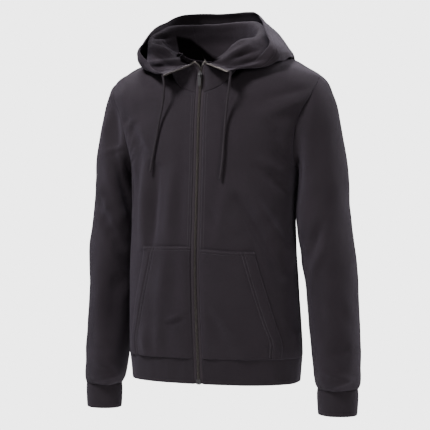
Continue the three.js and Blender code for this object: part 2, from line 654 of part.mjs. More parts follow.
function cuffGrid(name) {
  const sleeveAt = SLEEVE_AT[name];
  const rings = [
    { z: CUFF_SEAM_Z - SEAM_GAP, grow: 0 },
    { z: CUFF_SEAM_Z - 12, grow: 0.6 },
    { z: mix(CUFF_SEAM_Z, CUFF_Z, 0.6), grow: 0 },
    { z: CUFF_Z, grow: -1.2 },
  ];
  const points = rings.map(({ z, grow }) =>
    sleeveColumns().map((turn) => {
      const p = sleeveTube(name, turn, CUFF_SEAM_Z);
      const middle = new THREE.Vector3(sleeveAt.across(CUFF_SEAM_Z), sleeveAt.deep(CUFF_SEAM_Z), CUFF_SEAM_Z);
      const out = p.clone().sub(middle).normalize();
      return p.addScaledVector(out, grow).setZ(z);
    }),
  );
  const plain = withNormals(points, true, 1);
  const outward = plain[1][ARMHOLE_ROWS].n.x > 0 ? 1 : -1;
  return withNormals(points, true, outward);
}

const mirrorGrid = (grid) => grid.map((row) => row.map((g) => ({ p: mirrorX(g.p), n: mirrorX(g.n) })));
clothWall("sleeve_left", sleeveGrid("left"), CLOTH_BLACK, { ring: true });
clothWall("sleeve_right", mirrorGrid(sleeveGrid("right")), CLOTH_BLACK, { ring: true });
clothWall("cuff_left", cuffGrid("left"), RIB_BLACK, { ring: true, thickness: 2.6 });
clothWall("cuff_right", mirrorGrid(cuffGrid("right")), RIB_BLACK, { ring: true, thickness: 2.6 });

// Hood
const HOOD_STRETCHES = ["stand", "roll", "over", "wall", "bottom", "belly", "upper", "rim"];
const HOOD_KNOTS = HOOD.map((_, i) => i);

// The neck seam on the body's surface: straight between the panels' own points.
const NECK_POINTS = [];
for (let k = 0; k <= NECK_ROWS; k += 1) {
  const place = neckPlace(neckBeta(k));
  NECK_POINTS.push({ beta: neckBeta(k), p: bodySurface(place.turn, place.z) });
}
const BACK_NECK_COLUMNS = BACK_HALF_COLUMNS - BACK_SHOULDER_COLUMNS;
for (let k = 1; k <= BACK_NECK_COLUMNS; k += 1) {
  const beta = 90 + (90 * k) / BACK_NECK_COLUMNS;
  const place = neckPlace(beta);
  NECK_POINTS.push({ beta, p: bodySurface(place.turn, place.z) });
}

function neckPoint(beta) {
  let i = 0;
  while (i < NECK_POINTS.length - 2 && beta > NECK_POINTS[i + 1].beta) i += 1;
  const [a, b] = [NECK_POINTS[i], NECK_POINTS[i + 1]];
  return a.p.clone().lerp(b.p, clamp01((beta - a.beta) / (b.beta - a.beta)));
}

const hoodStations = [];
for (let i = 0; i <= (HOOD.length - 1) * HOOD_COLUMNS_PER_STATION; i += 1) {
  hoodStations.push(i / HOOD_COLUMNS_PER_STATION);
}

// One section of the hood, from the neck seam to the rim, as a curve through its places.
function hoodSection(station) {
  const seam = smoothBetween(HOOD_KNOTS, HOOD.map((row) => row.seam), station);
  const places = [neckPoint(seam)];
  for (const name of HOOD_STRETCHES) {
    const axis = (i) => smoothBetween(HOOD_KNOTS, HOOD.map((row) => row[name][i]), station);
    places.push(new THREE.Vector3(axis(0), axis(1), axis(2)));
  }
  const knots = [0];
  for (let i = 1; i < places.length; i += 1) {
    knots.push(knots[i - 1] + Math.sqrt(places[i].distanceTo(places[i - 1])));
  }
  const at = (t) => {
    const read = (axis) => smoothBetween(knots, places.map((p) => p.getComponent(axis)), t);
    return new THREE.Vector3(read(0), read(1), read(2));
  };
  const points = [places[0]];
  HOOD_ROWS_PER_STRETCH.forEach((count, stretch) => {
    for (let j = 1; j <= count; j += 1) points.push(at(mix(knots[stretch], knots[stretch + 1], j / count)));
  });
  return points;
}

const pullAside = (p, side) => {
  const amount = HOOD_PULL * ease((p.z + 30) / 110);
  const tuck = side < 0 ? HOOD_RIGHT_TUCK * ease((p.x - 95) / 60) : 0;
  const rise = side < 0 ? 4 * ease((p.z - 60) / 50) : 0;
  return new THREE.Vector3(side * (p.x - tuck) + amount, p.y, p.z + rise * ease(p.x / 50));
};

function hoodPoints(side) {
  const sections = hoodStations.map(hoodSection);
  return sections[0].map((_, r) => sections.map((section) => pullAside(section[r], side)));
}

// How far out a place is from the body: under 1 is inside a level section.
function bodyShare(p) {
  const n = bodyAt.square(p.z);
  const depth = p.y < bodyAt.side(p.z) ? bodyAt.front(p.z) : bodyAt.back(p.z);
  const across = Math.abs(p.x) / bodyAt.half(p.z);
  const deep = Math.abs(p.y - bodyAt.side(p.z)) / depth;
  return Math.pow(Math.pow(across, n) + Math.pow(deep, n), 1 / n);
}

// Moves a place straight out of the body until it is clear of it.
function keepClear(p, clearance) {
  if (p.z > 30) return p;
  const moved = p.clone();
  const step = 0.5;
  for (let pass = 0; pass < 6; pass += 1) {
    const slope = new THREE.Vector3(
      (bodyShare(moved.clone().setX(moved.x + step)) - bodyShare(moved.clone().setX(moved.x - step))) / (2 * step),
      (bodyShare(moved.clone().setY(moved.y + step)) - bodyShare(moved.clone().setY(moved.y - step))) / (2 * step),
      (bodyShare(moved.clone().setZ(moved.z + step)) - bodyShare(moved.clone().setZ(moved.z - step))) / (2 * step),
    );
    const distance = (bodyShare(moved) - 1) / slope.length();
    if (distance >= clearance) return moved;
    moved.addScaledVector(slope.normalize(), Math.min(8, clearance - distance));
  }
  return moved;
}

const HOOD_CLEARANCE = 3.4;
const hoodHalf = { left: hoodPoints(1), right: hoodPoints(-1) };
// One sheet from the right front edge, round the back, to the left front edge.
const hoodSheet = hoodHalf.right.map((row, r) => [...row].reverse().concat(hoodHalf.left[r].slice(1)));
const hoodMiddle = (hoodSheet[0].length - 1) / 2;
const hoodOutward = gridNormal(hoodSheet, 2, hoodMiddle, false).y > 0 ? 1 : -1;
const restingFrom = HOOD_ROWS_PER_STRETCH[0] + HOOD_ROWS_PER_STRETCH[1] + 1;
const hoodResting = hoodSheet.map((row, r) => (r < restingFrom ? row : row.map((p) => keepClear(p, HOOD_CLEARANCE))));
const hoodWall = withNormals(hoodResting, false, hoodOutward);
hoodWall[0].forEach((g) => {
  g.p.addScaledVector(new THREE.Vector3(0, 0, 1), SEAM_GAP + 0.25);
});

const HOOD_CREEP = 0.25;
const centreHalf = HOOD_CENTRE_STATION * HOOD_COLUMNS_PER_STATION;
const hoodCut = (from, to) => hoodWall.map((row) => row.slice(from, to + 1));
clothWall("hood_right", creepInwards(hoodCut(0, hoodMiddle - centreHalf), { end: HOOD_CREEP }), CLOTH_BLACK);
clothWall(
  "hood_centre",
  creepInwards(hoodCut(hoodMiddle - centreHalf, hoodMiddle + centreHalf), { start: HOOD_CREEP, end: HOOD_CREEP }),
  CLOTH_BLACK,
);
clothWall(
  "hood_left",
  creepInwards(hoodCut(hoodMiddle + centreHalf, hoodWall[0].length - 1), { start: HOOD_CREEP }),
  CLOTH_BLACK,
);

// Zip
// The tape runs up the front edge of the body, then along the hood's open front edge.
const TAPE_OUT = ZIP_HALF - SEAM_GAP;
const TAPE_IN = 2.7;
const TAPE_WALL = 1.0;
const TAPE_SUNK = 0.9;
const CHAIN_HALF = 2.4;
const CHAIN_WALL = 2.2;
const BOX_TOP_Z = HEM_Z + 8.5;
const ZIP_ROWS = [BOX_TOP_Z + SEAM_GAP, -630, -590, -540, -490, -440, -390, -340, -290, -240, -190, -150, -115, -90, -76.5];

function tapePath(side) {
  const path = ZIP_ROWS.map((z) => {
    const row = [TAPE_OUT, TAPE_IN].map((x) => onBody({ turn: side * turnAt(x, z), z }, 1));
    return row;
  });
  const edge = side > 0 ? hoodWall.map((row) => row.slice(-2).reverse()) : hoodWall.map((row) => row.slice(0, 2));
  edge.forEach(([end, next], r) => {
    if (r < 1) return;
    const below = edge[Math.max(0, r - 1)][0].p;
    const above = edge[Math.min(edge.length - 1, r + 1)][0].p;
    const along = above.clone().sub(below).normalize();
    const away = end.p.clone().sub(next.p);
    away.addScaledVector(along, -away.dot(along)).normalize();
    if (r <= HOOD_ROWS_PER_STRETCH[0] + 1) away.set(-side, 0, 0);
    const place = (reach) => ({ p: end.p.clone().addScaledVector(away, reach), n: end.n });
    path.push([place(0.6), place(ZIP_HALF - TAPE_IN)]);
  });
  return path;
}

for (const [name, side] of [["left", 1], ["right", -1]]) {
  clothWall("zip_tape_" + name, tapePath(side), TAPE_BLACK, { thickness: TAPE_WALL, raise: -TAPE_SUNK });
}

const CHAIN_TOP_Z = -45.5;
const chainGrid = [...ZIP_ROWS.slice(0, -1), CHAIN_TOP_Z].map((z) =>
  [-CHAIN_HALF, 0, CHAIN_HALF].map((x) => ({
    p: new THREE.Vector3(x, z > -80 ? mix(-93.4, -97, ease((-z - 47) / 28)) : bodySurface(0, z).y, z),
    n: new THREE.Vector3(0, -1, 0),
  })),
);
clothWall("zip_chain", chainGrid, DARK_METAL, { thickness: CHAIN_WALL, raise: 0.4 });

// Solids
const toManifold = (geometry) => {
  const plain = geometry.index ? geometry : geometry.clone();
  const mesh = new wasm.Mesh({
    numProp: 3,
    vertProperties: new Float32Array(plain.attributes.position.array),
    triVerts: new Uint32Array(plain.index.array),
  });
  mesh.merge();
  return new wasm.Manifold(mesh);
};
const fromManifold = (solid) => {
  const mesh = solid.getMesh();
  const geometry = new THREE.BufferGeometry();
  geometry.setAttribute("position", new THREE.Float32BufferAttribute(mesh.vertProperties, 3));
  geometry.setIndex(Array.from(mesh.triVerts));
  geometry.computeVertexNormals();
  return geometry;
};
const box = (wide, deep, high, x, y, z) =>
  wasm.Manifold.cube([wide, deep, high], true).translate([x, y, z]);
const rodX = (radius, length, x, y, z) =>
  wasm.Manifold.cylinder(length, radius, radius, 16, true).rotate([0, 90, 0]).translate([x, y, z]);

const SLIDER = { wide: 9, high: 12, deep: 3, faceY: -97.2, z: -41, pinOut: 2.1, pinRadius: 0.8 };
const pinY = SLIDER.faceY - SLIDER.pinOut;
const pinZ = SLIDER.z + 1.5;
const sliderCore = box(SLIDER.wide, SLIDER.deep, SLIDER.high, 0, SLIDER.faceY + SLIDER.deep / 2, SLIDER.z);
const sliderNeck = box(SLIDER.wide * 0.62, SLIDER.deep, 3, 0, SLIDER.faceY + SLIDER.deep / 2, SLIDER.z + SLIDER.high / 2 + 1);
const lug = (x) => box(1.2, 3.2, 4, x, SLIDER.faceY - 1.4, pinZ);
const slider = sliderCore.add(sliderNeck).add(lug(-2.6)).add(lug(2.6)).add(rodX(SLIDER.pinRadius, 5.6, 0, pinY, pinZ));
piece("zip_slider", fromManifold(slider), DARK_METAL);

const PULL = { wide: 7, top: 3.6, thick: 1.5, length: 24, eye: 1.15 };
const pullPlate = box(PULL.wide, PULL.thick, PULL.length - 7, 0, pinY, pinZ - 7 - (PULL.length - 7) / 2 + 1);
const pullStem = box(PULL.top, PULL.thick, 7.2, 0, pinY, pinZ - 3);
const pullEye = rodX(1.9, PULL.top, 0, pinY, pinZ);
const pullHole = rodX(PULL.eye, PULL.top + 2, 0, pinY, pinZ);
piece("zip_pull", fromManifold(pullPlate.add(pullStem).add(pullEye).subtract(pullHole)), DARK_METAL);

const boxY = bodySurface(0, HEM_Z + 4).y;
piece("zip_bottom_box", fromManifold(box(10, 4, 8.5, 0, boxY + 0.6, HEM_Z + 4.2)), DARK_METAL);

// Drawcords: each comes out of the rim near its end and lies down the front.
const CORDS = {
  right: [[-73.8, -117.2, -38.8], [-74.6, -120, -56], [-80, -121, -90], [-85, -117, -130], [-91, -114, -170], [-97, -112, -215], [-102, -110, -250]],
  left: [[73.6, -117.2, -38.8], [71, -120.6, -56], [65, -122, -92], [61, -121, -130], [57, -120, -170], [52, -121, -215], [48, -121, -258]],
};

function cordGeometry(points) {
  const line = new THREE.CatmullRomCurve3(points.map((p) => new THREE.Vector3(...p)), false, "centripetal");
  const rings = 18;
  const places = [];
  for (let i = 0; i <= rings; i += 1) {
    const t = i / rings;
    const p = line.getPoint(t);
    const along = line.getTangent(t);
    const side = new THREE.Vector3(1, 0, 0).addScaledVector(along, -along.x).normalize();
    const front = side.clone().cross(along).normalize();
    for (let k = 0; k < CORD_SIDES; k += 1) {
      const a = (2 * Math.PI * k) / CORD_SIDES;
      places.push(p.clone().addScaledVector(side, (CORD_WIDTH / 2) * Math.cos(a)).addScaledVector(front, (CORD_WIDTH / 2) * Math.sin(a)));
    }
  }
  const index = [];
  for (let i = 0; i < rings; i += 1) {
    for (let k = 0; k < CORD_SIDES; k += 1) {
      const next = (k + 1) % CORD_SIDES;
      const a = i * CORD_SIDES + k;
      const b = i * CORD_SIDES + next;
      index.push(a, b, b + CORD_SIDES, a, b + CORD_SIDES, a + CORD_SIDES);
    }
  }
  const last = rings * CORD_SIDES;
  for (let k = 1; k < CORD_SIDES - 1; k += 1) {
    index.push(0, k + 1, k);
    index.push(last, last + k, last + k + 1);
  }
  return closedGeometry(places, index);
}

for (const name of ["left", "right"]) {
  piece("drawcord_" + name, cordGeometry(CORDS[name]), CORD_BLACK);
}

export default garment;
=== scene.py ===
import math

import bmesh
import bpy
import numpy as np
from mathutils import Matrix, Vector


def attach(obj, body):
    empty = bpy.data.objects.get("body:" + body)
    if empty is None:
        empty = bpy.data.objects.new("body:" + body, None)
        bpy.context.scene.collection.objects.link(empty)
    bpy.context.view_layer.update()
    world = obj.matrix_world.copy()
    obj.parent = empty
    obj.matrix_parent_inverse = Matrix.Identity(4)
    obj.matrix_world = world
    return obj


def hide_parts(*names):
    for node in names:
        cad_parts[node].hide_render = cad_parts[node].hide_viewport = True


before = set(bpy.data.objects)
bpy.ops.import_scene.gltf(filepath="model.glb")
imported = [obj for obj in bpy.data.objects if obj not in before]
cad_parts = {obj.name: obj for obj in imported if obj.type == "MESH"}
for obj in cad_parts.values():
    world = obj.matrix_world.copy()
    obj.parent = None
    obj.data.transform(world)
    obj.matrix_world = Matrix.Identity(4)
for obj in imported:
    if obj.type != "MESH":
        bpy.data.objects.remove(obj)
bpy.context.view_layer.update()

# Camera
# It stands 2.3 m from the garment, 20 degrees round to the wearer's left of straight
# ahead and level with the chest's lower part, and looks very slightly up.
CAMERA_AWAY = 2.3
CAMERA_TURN = math.radians(20)
CAMERA_Z = -0.370
CAMERA_TILT = math.radians(1.15)
SENSOR = 36
PICTURE = 430
FOCAL_PIXELS = 1085
MIDDLE_PIXEL = 216


def link(name, data):
    """A new object for a mesh, a camera or a lamp, put in the scene."""
    thing = bpy.data.objects.new(name, data)
    bpy.context.scene.collection.objects.link(thing)
    return thing


camera_right = Vector((math.cos(CAMERA_TURN), math.sin(CAMERA_TURN), 0))
camera_ahead = Vector((-math.sin(CAMERA_TURN), math.cos(CAMERA_TURN), 0))
sideways = (PICTURE / 2 - MIDDLE_PIXEL) * CAMERA_AWAY / FOCAL_PIXELS
camera_place = camera_right * sideways - camera_ahead * CAMERA_AWAY + Vector((0, 0, CAMERA_Z))
looking = camera_ahead * math.cos(CAMERA_TILT) + Vector((0, 0, math.sin(CAMERA_TILT)))
camera_data = bpy.data.cameras.new("camera")
camera_data.sensor_width = SENSOR
camera_data.lens = SENSOR * FOCAL_PIXELS / PICTURE
camera = link("camera", camera_data)
camera.location = camera_place
camera.rotation_euler = looking.to_track_quat("-Z", "Y").to_euler()
bpy.context.scene.camera = camera


def seen_at(points):
    """Where points of the garment, in metres, fall in the 430 pixel picture."""
    right = points @ np.array(camera_right)
    depth = CAMERA_AWAY + points @ np.array(camera_ahead)
    rise = np.arctan((points[..., 2] - CAMERA_Z) / depth) - CAMERA_TILT
    across = MIDDLE_PIXEL + FOCAL_PIXELS * right / depth
    return np.stack([across, PICTURE / 2 - FOCAL_PIXELS * np.tan(rise)], -1)


# Drawcord
# A round braided cord runs in the hood's rim. Its two free ends come out of the rim beside
# the zip and lie down the front. Each end is sewn through to keep the braid from opening.
CORD_WIDTH = 0.005
CORD_ROUTES = {
    "right": [
        (-73.8, -117.2, -38.8),
        (-70.5, -118, -56),
        (-75.1, -111, -90),
        (-85.2, -107, -130),
        (-93.2, -106, -170),
        (-101.7, -106, -210),
        (-106.0, -106.5, -236),
    ],
    "left": [
        (73.6, -117.2, -38.8),
        (72.2, -118, -56),
        (65.8, -113, -92),
        (60.9, -111, -130),
        (58.0, -112.5, -170),
        (55.1, -115, -215),
        (51.1, -117, -255),
    ],
}


def finer(points, count):
    """The points, with count steps to each old one along the first axis, on a smooth curve."""
    gaps = np.linalg.norm(np.diff(points, axis=0), axis=-1, keepdims=True) + 1e-9
    slopes = np.diff(points, axis=0) / gaps
    inner = (gaps[1:] * slopes[:-1] + gaps[:-1] * slopes[1:]) / (gaps[1:] + gaps[:-1])
    tangents = np.concatenate([slopes[:1], inner, slopes[-1:]])
    rows = []
    for step in range(count):
        t = step / count
        rows.append(
            (2 * t**3 - 3 * t**2 + 1) * points[:-1]
            + (t**3 - 2 * t**2 + t) * gaps * tangents[:-1]
            + (3 * t**2 - 2 * t**3) * points[1:]
            + (t**3 - t**2) * gaps * tangents[1:]
        )
    mixed = np.stack(rows, 1).reshape((-1,) + points.shape[1:])
    return np.concatenate([mixed, points[-1:]])


def unit(vectors):
    return vectors / (np.linalg.norm(vectors, axis=-1, keepdims=True) + 1e-12)


def run_along(line):
    """How far each point is from the line's start, measured along it."""
    return np.concatenate([[0], np.cumsum(np.linalg.norm(np.diff(line, axis=0), axis=1))])


def link_mesh(name, corners, faces, smooth=True):
    mesh = bpy.data.meshes.new(name)
    mesh.from_pydata([tuple(p) for p in corners], [], faces)
    mesh.update()
    if smooth:
        mesh.polygons.foreach_set("use_smooth", [True] * len(mesh.polygons))
    return link(name, mesh)


def tube(name, rings, smooth=True):
    """A closed tube through rings of points, with its faces turned outward."""
    sides = len(rings[0])
    last = len(rings) * sides - 1
    faces = []
    for first in range(0, last + 1 - sides, sides):
        for k in range(sides):
            a, b = first + k, first + (k + 1) % sides
            faces.append((a, a + sides, b + sides, b))
    faces += [tuple(range(sides)), tuple(last - k for k in range(sides))]
    thing = link_mesh(name, [p for ring in rings for p in ring], faces, smooth)
    work = bmesh.new()
    work.from_mesh(thing.data)
    bmesh.ops.recalc_face_normals(work, faces=work.faces)
    work.to_mesh(thing.data)
    work.free()
    return thing


class Wire:
    """A socket of a material, so that its sums can be written as Python expressions."""

    def __init__(self, tree, socket):
        self.tree = tree
        self.socket = socket

    def sum_with(self, operation, other=None, first=True):
        node = self.tree.nodes.new("ShaderNodeMath")
        node.operation = operation
        mine, theirs = (0, 1) if first else (1, 0)
        self.tree.links.new(self.socket, node.inputs[mine])
        if isinstance(other, Wire):
            self.tree.links.new(other.socket, node.inputs[theirs])
        elif other is not None:
            node.inputs[theirs].default_value = other
        return Wire(self.tree, node.outputs[0])

    def __add__(self, other):
        return self.sum_with("ADD", other)

    __radd__ = __add__

    def __mul__(self, other):
        return self.sum_with("MULTIPLY", other)

    __rmul__ = __mul__

    def __sub__(self, other):
        return self.sum_with("SUBTRACT", other)

    def __rsub__(self, other):
        return self.sum_with("SUBTRACT", other, first=False)

    def __truediv__(self, other):
        return self.sum_with("DIVIDE", other)

    def __abs__(self):
        return self.sum_with("ABSOLUTE")

    def wave(self):
        """From 0 to 1 and back, once for each whole number."""
        return (self * (2 * math.pi)).sum_with("COSINE") * 0.5 + 0.5

    def between(self):
        """How far past the last whole number."""
        return self.sum_with("FRACT")


class Finish:
    """One material while it is put together."""

    def __init__(self, name):
        self.material = bpy.data.materials.new(name)
        self.material.use_nodes = True
        self.tree = self.material.node_tree
        self.shader = self.tree.nodes["Principled BSDF"]

    def plug(self, node, sockets):
        for name, value in sockets.items():
            socket = node.inputs[name.replace("_", " ")]
            if isinstance(value, Wire):
                self.tree.links.new(value.socket, socket)
            else:
                socket.default_value = value

    def node(self, kind, output=0, settings=None, **sockets):
        node = self.tree.nodes.new(kind)
        for name, value in (settings or {}).items():
            setattr(node, name, value)
        self.plug(node, sockets)
        return Wire(self.tree, node.outputs[output])

    def flat_place(self):
        """Where the cloth was before it was sewn, in millimetres along and up."""
        both = self.node("ShaderNodeUVMap", settings={"uv_map": "cut"})
        return [self.node("ShaderNodeSeparateXYZ", axis, Vector=both) * 1000 for axis in ("X", "Y")]

    def noise(self, scale, detail=3.0, rough=0.55):
        place = self.node("ShaderNodeTexCoord", "Object")
        return self.node("ShaderNodeTexNoise", Vector=place, Scale=scale, Detail=detail, Roughness=rough)

    def colours(self, amount, low, high):
        """The low colour where amount is 0, and the high one where it is 1."""
        ends = {"A": (*low, 1), "B": (*high, 1)}
        return self.node("ShaderNodeMix", "Result", {"data_type": "RGBA"}, Factor=amount, **ends)

    def paint_shade_black(self, amount):
        """Painted shade: where amount is 1 the surface is mixed to matt black, a black painted where the
        neck's inside lies in shade.
        """
        matt = {"Base_Color": (0.0008, 0.0006, 0.0007, 1), "Roughness": 1.0, "Specular_IOR_Level": 0.0}
        black = self.node("ShaderNodeBsdfPrincipled", **matt).socket
        both = self.node("ShaderNodeMixShader", Fac=amount).socket
        self.tree.links.new(self.shader.outputs[0], both.node.inputs[1])
        self.tree.links.new(black, both.node.inputs[2])
        self.tree.links.new(both, self.tree.nodes["Material Output"].inputs["Surface"])

    def bump(self, height, distance, strength=1.0, over=None):
        sockets = {"Height": height, "Distance": distance, "Strength": strength}
        if over is not None:
            sockets["Normal"] = over
        return self.node("ShaderNodeBump", **sockets)

    def shade(self, **sockets):
        self.plug(self.shader, sockets)
        return self.material


def braided_cord(pitch=3.6, strands_round=5):
    """Fine strands cross over each other round the cord."""
    finish = Finish("braided_cord")
    along, round_it = finish.flat_place()
    turn = round_it / 1000 * strands_round
    left = (along / pitch + turn).wave()
    right = (along / pitch - turn).wave()
    strands = left.sum_with("MAXIMUM", right)
    fibres = finish.noise(2600, detail=2)
    # Painted shade: the colour follows the strands' bump, darker in the grooves between strands.
    amount = strands * 0.9 + fibres * 0.4 - 0.2
    colour = finish.colours(amount, (0.006, 0.0045, 0.0055), (0.045, 0.037, 0.042))
    normal = finish.bump(strands + fibres * 0.3, 0.0007)
    return finish.shade(Base_Color=colour, Normal=normal, Roughness=0.9, Specular_IOR_Level=0.12)


CORD_SIDES = 20
BRAID_PITCH = 0.0026
TIP_LENGTH = 0.0022  # how much of the end is rounded off
SEWN_AT = 0.007  # how far from the end the cord is sewn through
cord_cloth = braided_cord()
for side, route in CORD_ROUTES.items():
    line = finer(np.array(route) / 1000, 40)
    along = unit(np.gradient(line, axis=0))
    across = unit(np.array([[1.0, 0, 0]]) - along * along[:, :1])
    front = np.cross(across, along)
    run = run_along(line)
    length = float(run[-1])
    rings, maps = [], []
    for i, place in enumerate(line):
        left_over = length - run[i]
        tip = min(1.0, left_over / TIP_LENGTH)
        sewn = 1 - 0.12 * math.exp(-(((left_over - SEWN_AT) / 0.0012) ** 2))
        ring = []
        for k in range(CORD_SIDES):
            turn = 2 * math.pi * k / CORD_SIDES
            braid = math.cos(run[i] * 2 * math.pi / BRAID_PITCH + turn * 4) * math.cos(turn * 4)
            radius = CORD_WIDTH / 2 * (0.955 + 0.045 * braid) * sewn * (0.55 + 0.45 * math.sqrt(tip))
            ring.append(place + (across[i] * math.cos(turn) + front[i] * math.sin(turn)) * radius)
            maps.append((run[i], k / CORD_SIDES))
        rings.append(ring)
    cord = tube("cord_" + side, rings)
    flat = cord.data.uv_layers.new(name="cut")
    for loop in cord.data.loops:
        flat.data[loop.index].uv = maps[loop.vertex_index]
    cord.data.materials.append(cord_cloth)
    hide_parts("drawcord_" + side)
    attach(cord, "garment")

# Front panels
# Two halves cut from brushed sweatshirt cloth, sewn at the side, armhole, shoulder and neck.
# Their front edges are turned in and topstitched beside the zip.
SOFT = 0.002  # wall of the sweatshirt cloth
CLOTH_STEP = 0.0036  # size of a facet


def joined_wall(node):
    """A copy of a solid's mesh, with its loose triangles joined at their corners."""
    work = bmesh.new()
    work.from_mesh(node.data)
    bmesh.ops.remove_doubles(work, verts=work.verts, dist=2e-5)
    work.normal_update()
    return work


def two_faces(work, size, thickness):
    """The two sides of a wall: what is left, in that many triangles each, without its rim."""
    for slack in (0.0001, 0.00003, 0.0002, 0.0004):
        rim = {f for f in work.faces if any(abs(e.calc_length() - thickness) < slack for e in f.edges)}
        loose = True
        while loose:
            loose = {f for f in rim if sum(g in rim for e in f.edges for g in e.link_faces) - 3 < 2}
            rim -= loose
        found, left = [], set(work.faces) - rim
        while left:
            start = left.pop()
            patch, queue = {start}, [start]
            while queue:
                for edge in queue.pop().edges:
                    for other in edge.link_faces:
                        if other in left:
                            left.discard(other)
                            patch.add(other)
                            queue.append(other)
            found.append(patch)
        whole = [patch for patch in found if len(patch) == size]
        if len(whole) == 2:
            return whole
    raise ValueError("a wall's two sides were not found")


def squares(patch):
    """The triangles of an even grid, paired across their diagonals."""
    def walk(start, diagonal):
        chosen, queue = {start: diagonal}, [start]
        while queue:
            face = queue.pop()
            for edge in face.edges:
                others = [f for f in edge.link_faces if f is not face and f in patch]
                if not others:
                    if edge is chosen[face]:
                        return None
                    continue
                other = others[0]
                if edge is chosen[face]:
                    wanted = edge
                else:
                    far = next(v for v in edge.verts if v not in chosen[face].verts)
                    wanted = next(e for e in other.edges if e is not edge and far in e.verts)
                if other in chosen:
                    if chosen[other] is not wanted:
                        return None
                else:
                    chosen[other] = wanted
                    queue.append(other)
        return chosen

    start = next(iter(sorted(patch, key=lambda f: f.index)))
    choices = [c for c in (walk(start, edge) for edge in start.edges) if c]
    best = max(choices, key=lambda c: -sum(f.calc_perimeter() - 2 * c[f].calc_length() for f in c))
    pairs = {}
    for face, diagonal in best.items():
        pairs.setdefault(diagonal, []).append(face)
    cells = []
    for diagonal, faces in pairs.items():
        p, q = diagonal.verts
        ends = [next(v for v in face.verts if v not in (p, q)) for face in faces]
        cells.append((p, ends[0], q, ends[1]))
    return cells


def grid_places(cells):
    """Each corner's row and column, found by walking from square to square."""
    by_edge = {}
    for cell in cells:
        for i in range(4):
            by_edge.setdefault(frozenset((cell[i], cell[(i + 1) % 4])), []).append(cell)
    spot = dict(zip(cells[0], ((0, 0), (0, 1), (1, 1), (1, 0))))
    queue, done = [(cells[0], dict(spot))], {cells[0]}
    while queue:
        cell, here = queue.pop(0)
        for i in range(4):
            u, v = cell[i], cell[(i + 1) % 4]
            before = cell[(i + 3) % 4]
            step = (here[u][0] - here[before][0], here[u][1] - here[before][1])
            for other in by_edge[frozenset((u, v))]:
                if other in done:
                    continue
                done.add(other)
                k = other.index(u)
                next_u = other[(k + 1) % 4] if other[(k + 1) % 4] is not v else other[(k + 3) % 4]
                next_v = next(w for w in other if w not in (u, v, next_u))
                there = {u: here[u], v: here[v]}
                there[next_u] = (here[u][0] + step[0], here[u][1] + step[1])
                there[next_v] = (here[v][0] + step[0], here[v][1] + step[1])
                for w, place in there.items():
                    spot.setdefault(w, place)
                queue.append((other, there))
    return spot


def cloth_grid(name, rows, columns, inside, row_way, column_way, ring, thickness):
    """The outer side of a sewn piece's solid, as rows and columns of points in metres."""
    work = joined_wall(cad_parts[name])
    cells = (rows - 1) * (columns if ring else columns - 1)
    sides = two_faces(work, 2 * cells, thickness)
    inside = Vector(inside)
    nearest = [min((v.co - inside).length for f in side for v in f.verts) for side in sides]
    outer = sides[nearest.index(max(nearest))]
    spots = grid_places(squares(outer))
    edges = {e for f in outer for e in f.edges}
    border = {v for e in edges if sum(g in outer for g in e.link_faces) == 1 for v in e.verts}
    keys = list(spots.values())
    low = [min(k[i] for k in keys) for i in (0, 1)]
    if ring:
        along = min((0, 1), key=lambda i: len({spots[v][i] for v in border}))
        table = np.zeros((rows, columns, 3))
        for v, place in spots.items():
            table[place[along] - low[along], place[1 - along] % columns] = v.co
    else:
        shape = [max(k[i] for k in keys) - low[i] + 1 for i in (0, 1)]
        table = np.zeros((*shape, 3))
        for v, place in spots.items():
            table[place[0] - low[0], place[1] - low[1]] = v.co
    inner = [f for f in outer if not any(v in border for v in f.verts)] or list(outer)
    outward, centre = np.array(inner[0].normal), np.array(inner[0].calc_center_median())
    work.free()
    row_way, column_way = np.array(row_way, float), np.array(column_way, float)

    def likeness(grid):
        if grid.shape[:2] != (rows, columns):
            return -1e9
        down = float((grid[-1] - grid[0]).mean(0) @ row_way)
        if ring:
            return down
        return down + float((grid[:, -1] - grid[:, 0]).mean(0) @ column_way)

    turned = [table, table.transpose(1, 0, 2)] if not ring else [table]
    options = [g[::a, ::b] for g in turned for a in (1, -1) for b in (1, -1)]
    best = max(options, key=likeness)
    if ring:
        level = best[rows // 2]
        start = int(np.argmax(level @ column_way))
        best = np.roll(best, -start, axis=1)
        if best[rows // 2, columns // 4, 1] > best[rows // 2, -(columns // 4), 1]:
            best = np.roll(best[:, ::-1], 1, axis=1)
    slope = np.cross(np.gradient(best, axis=1), np.gradient(best, axis=0))
    at = np.unravel_index(np.argmin(((best - centre) ** 2).sum(-1)), (rows, columns))
    sign = 1.0 if slope[at] @ outward > 0 else -1.0
    return best, sign


def steps_for(points, axis, step):
    gaps = np.linalg.norm(np.diff(points, axis=axis), axis=-1)
    return max(2, int(math.ceil(float(np.percentile(gaps, 80)) / step)))


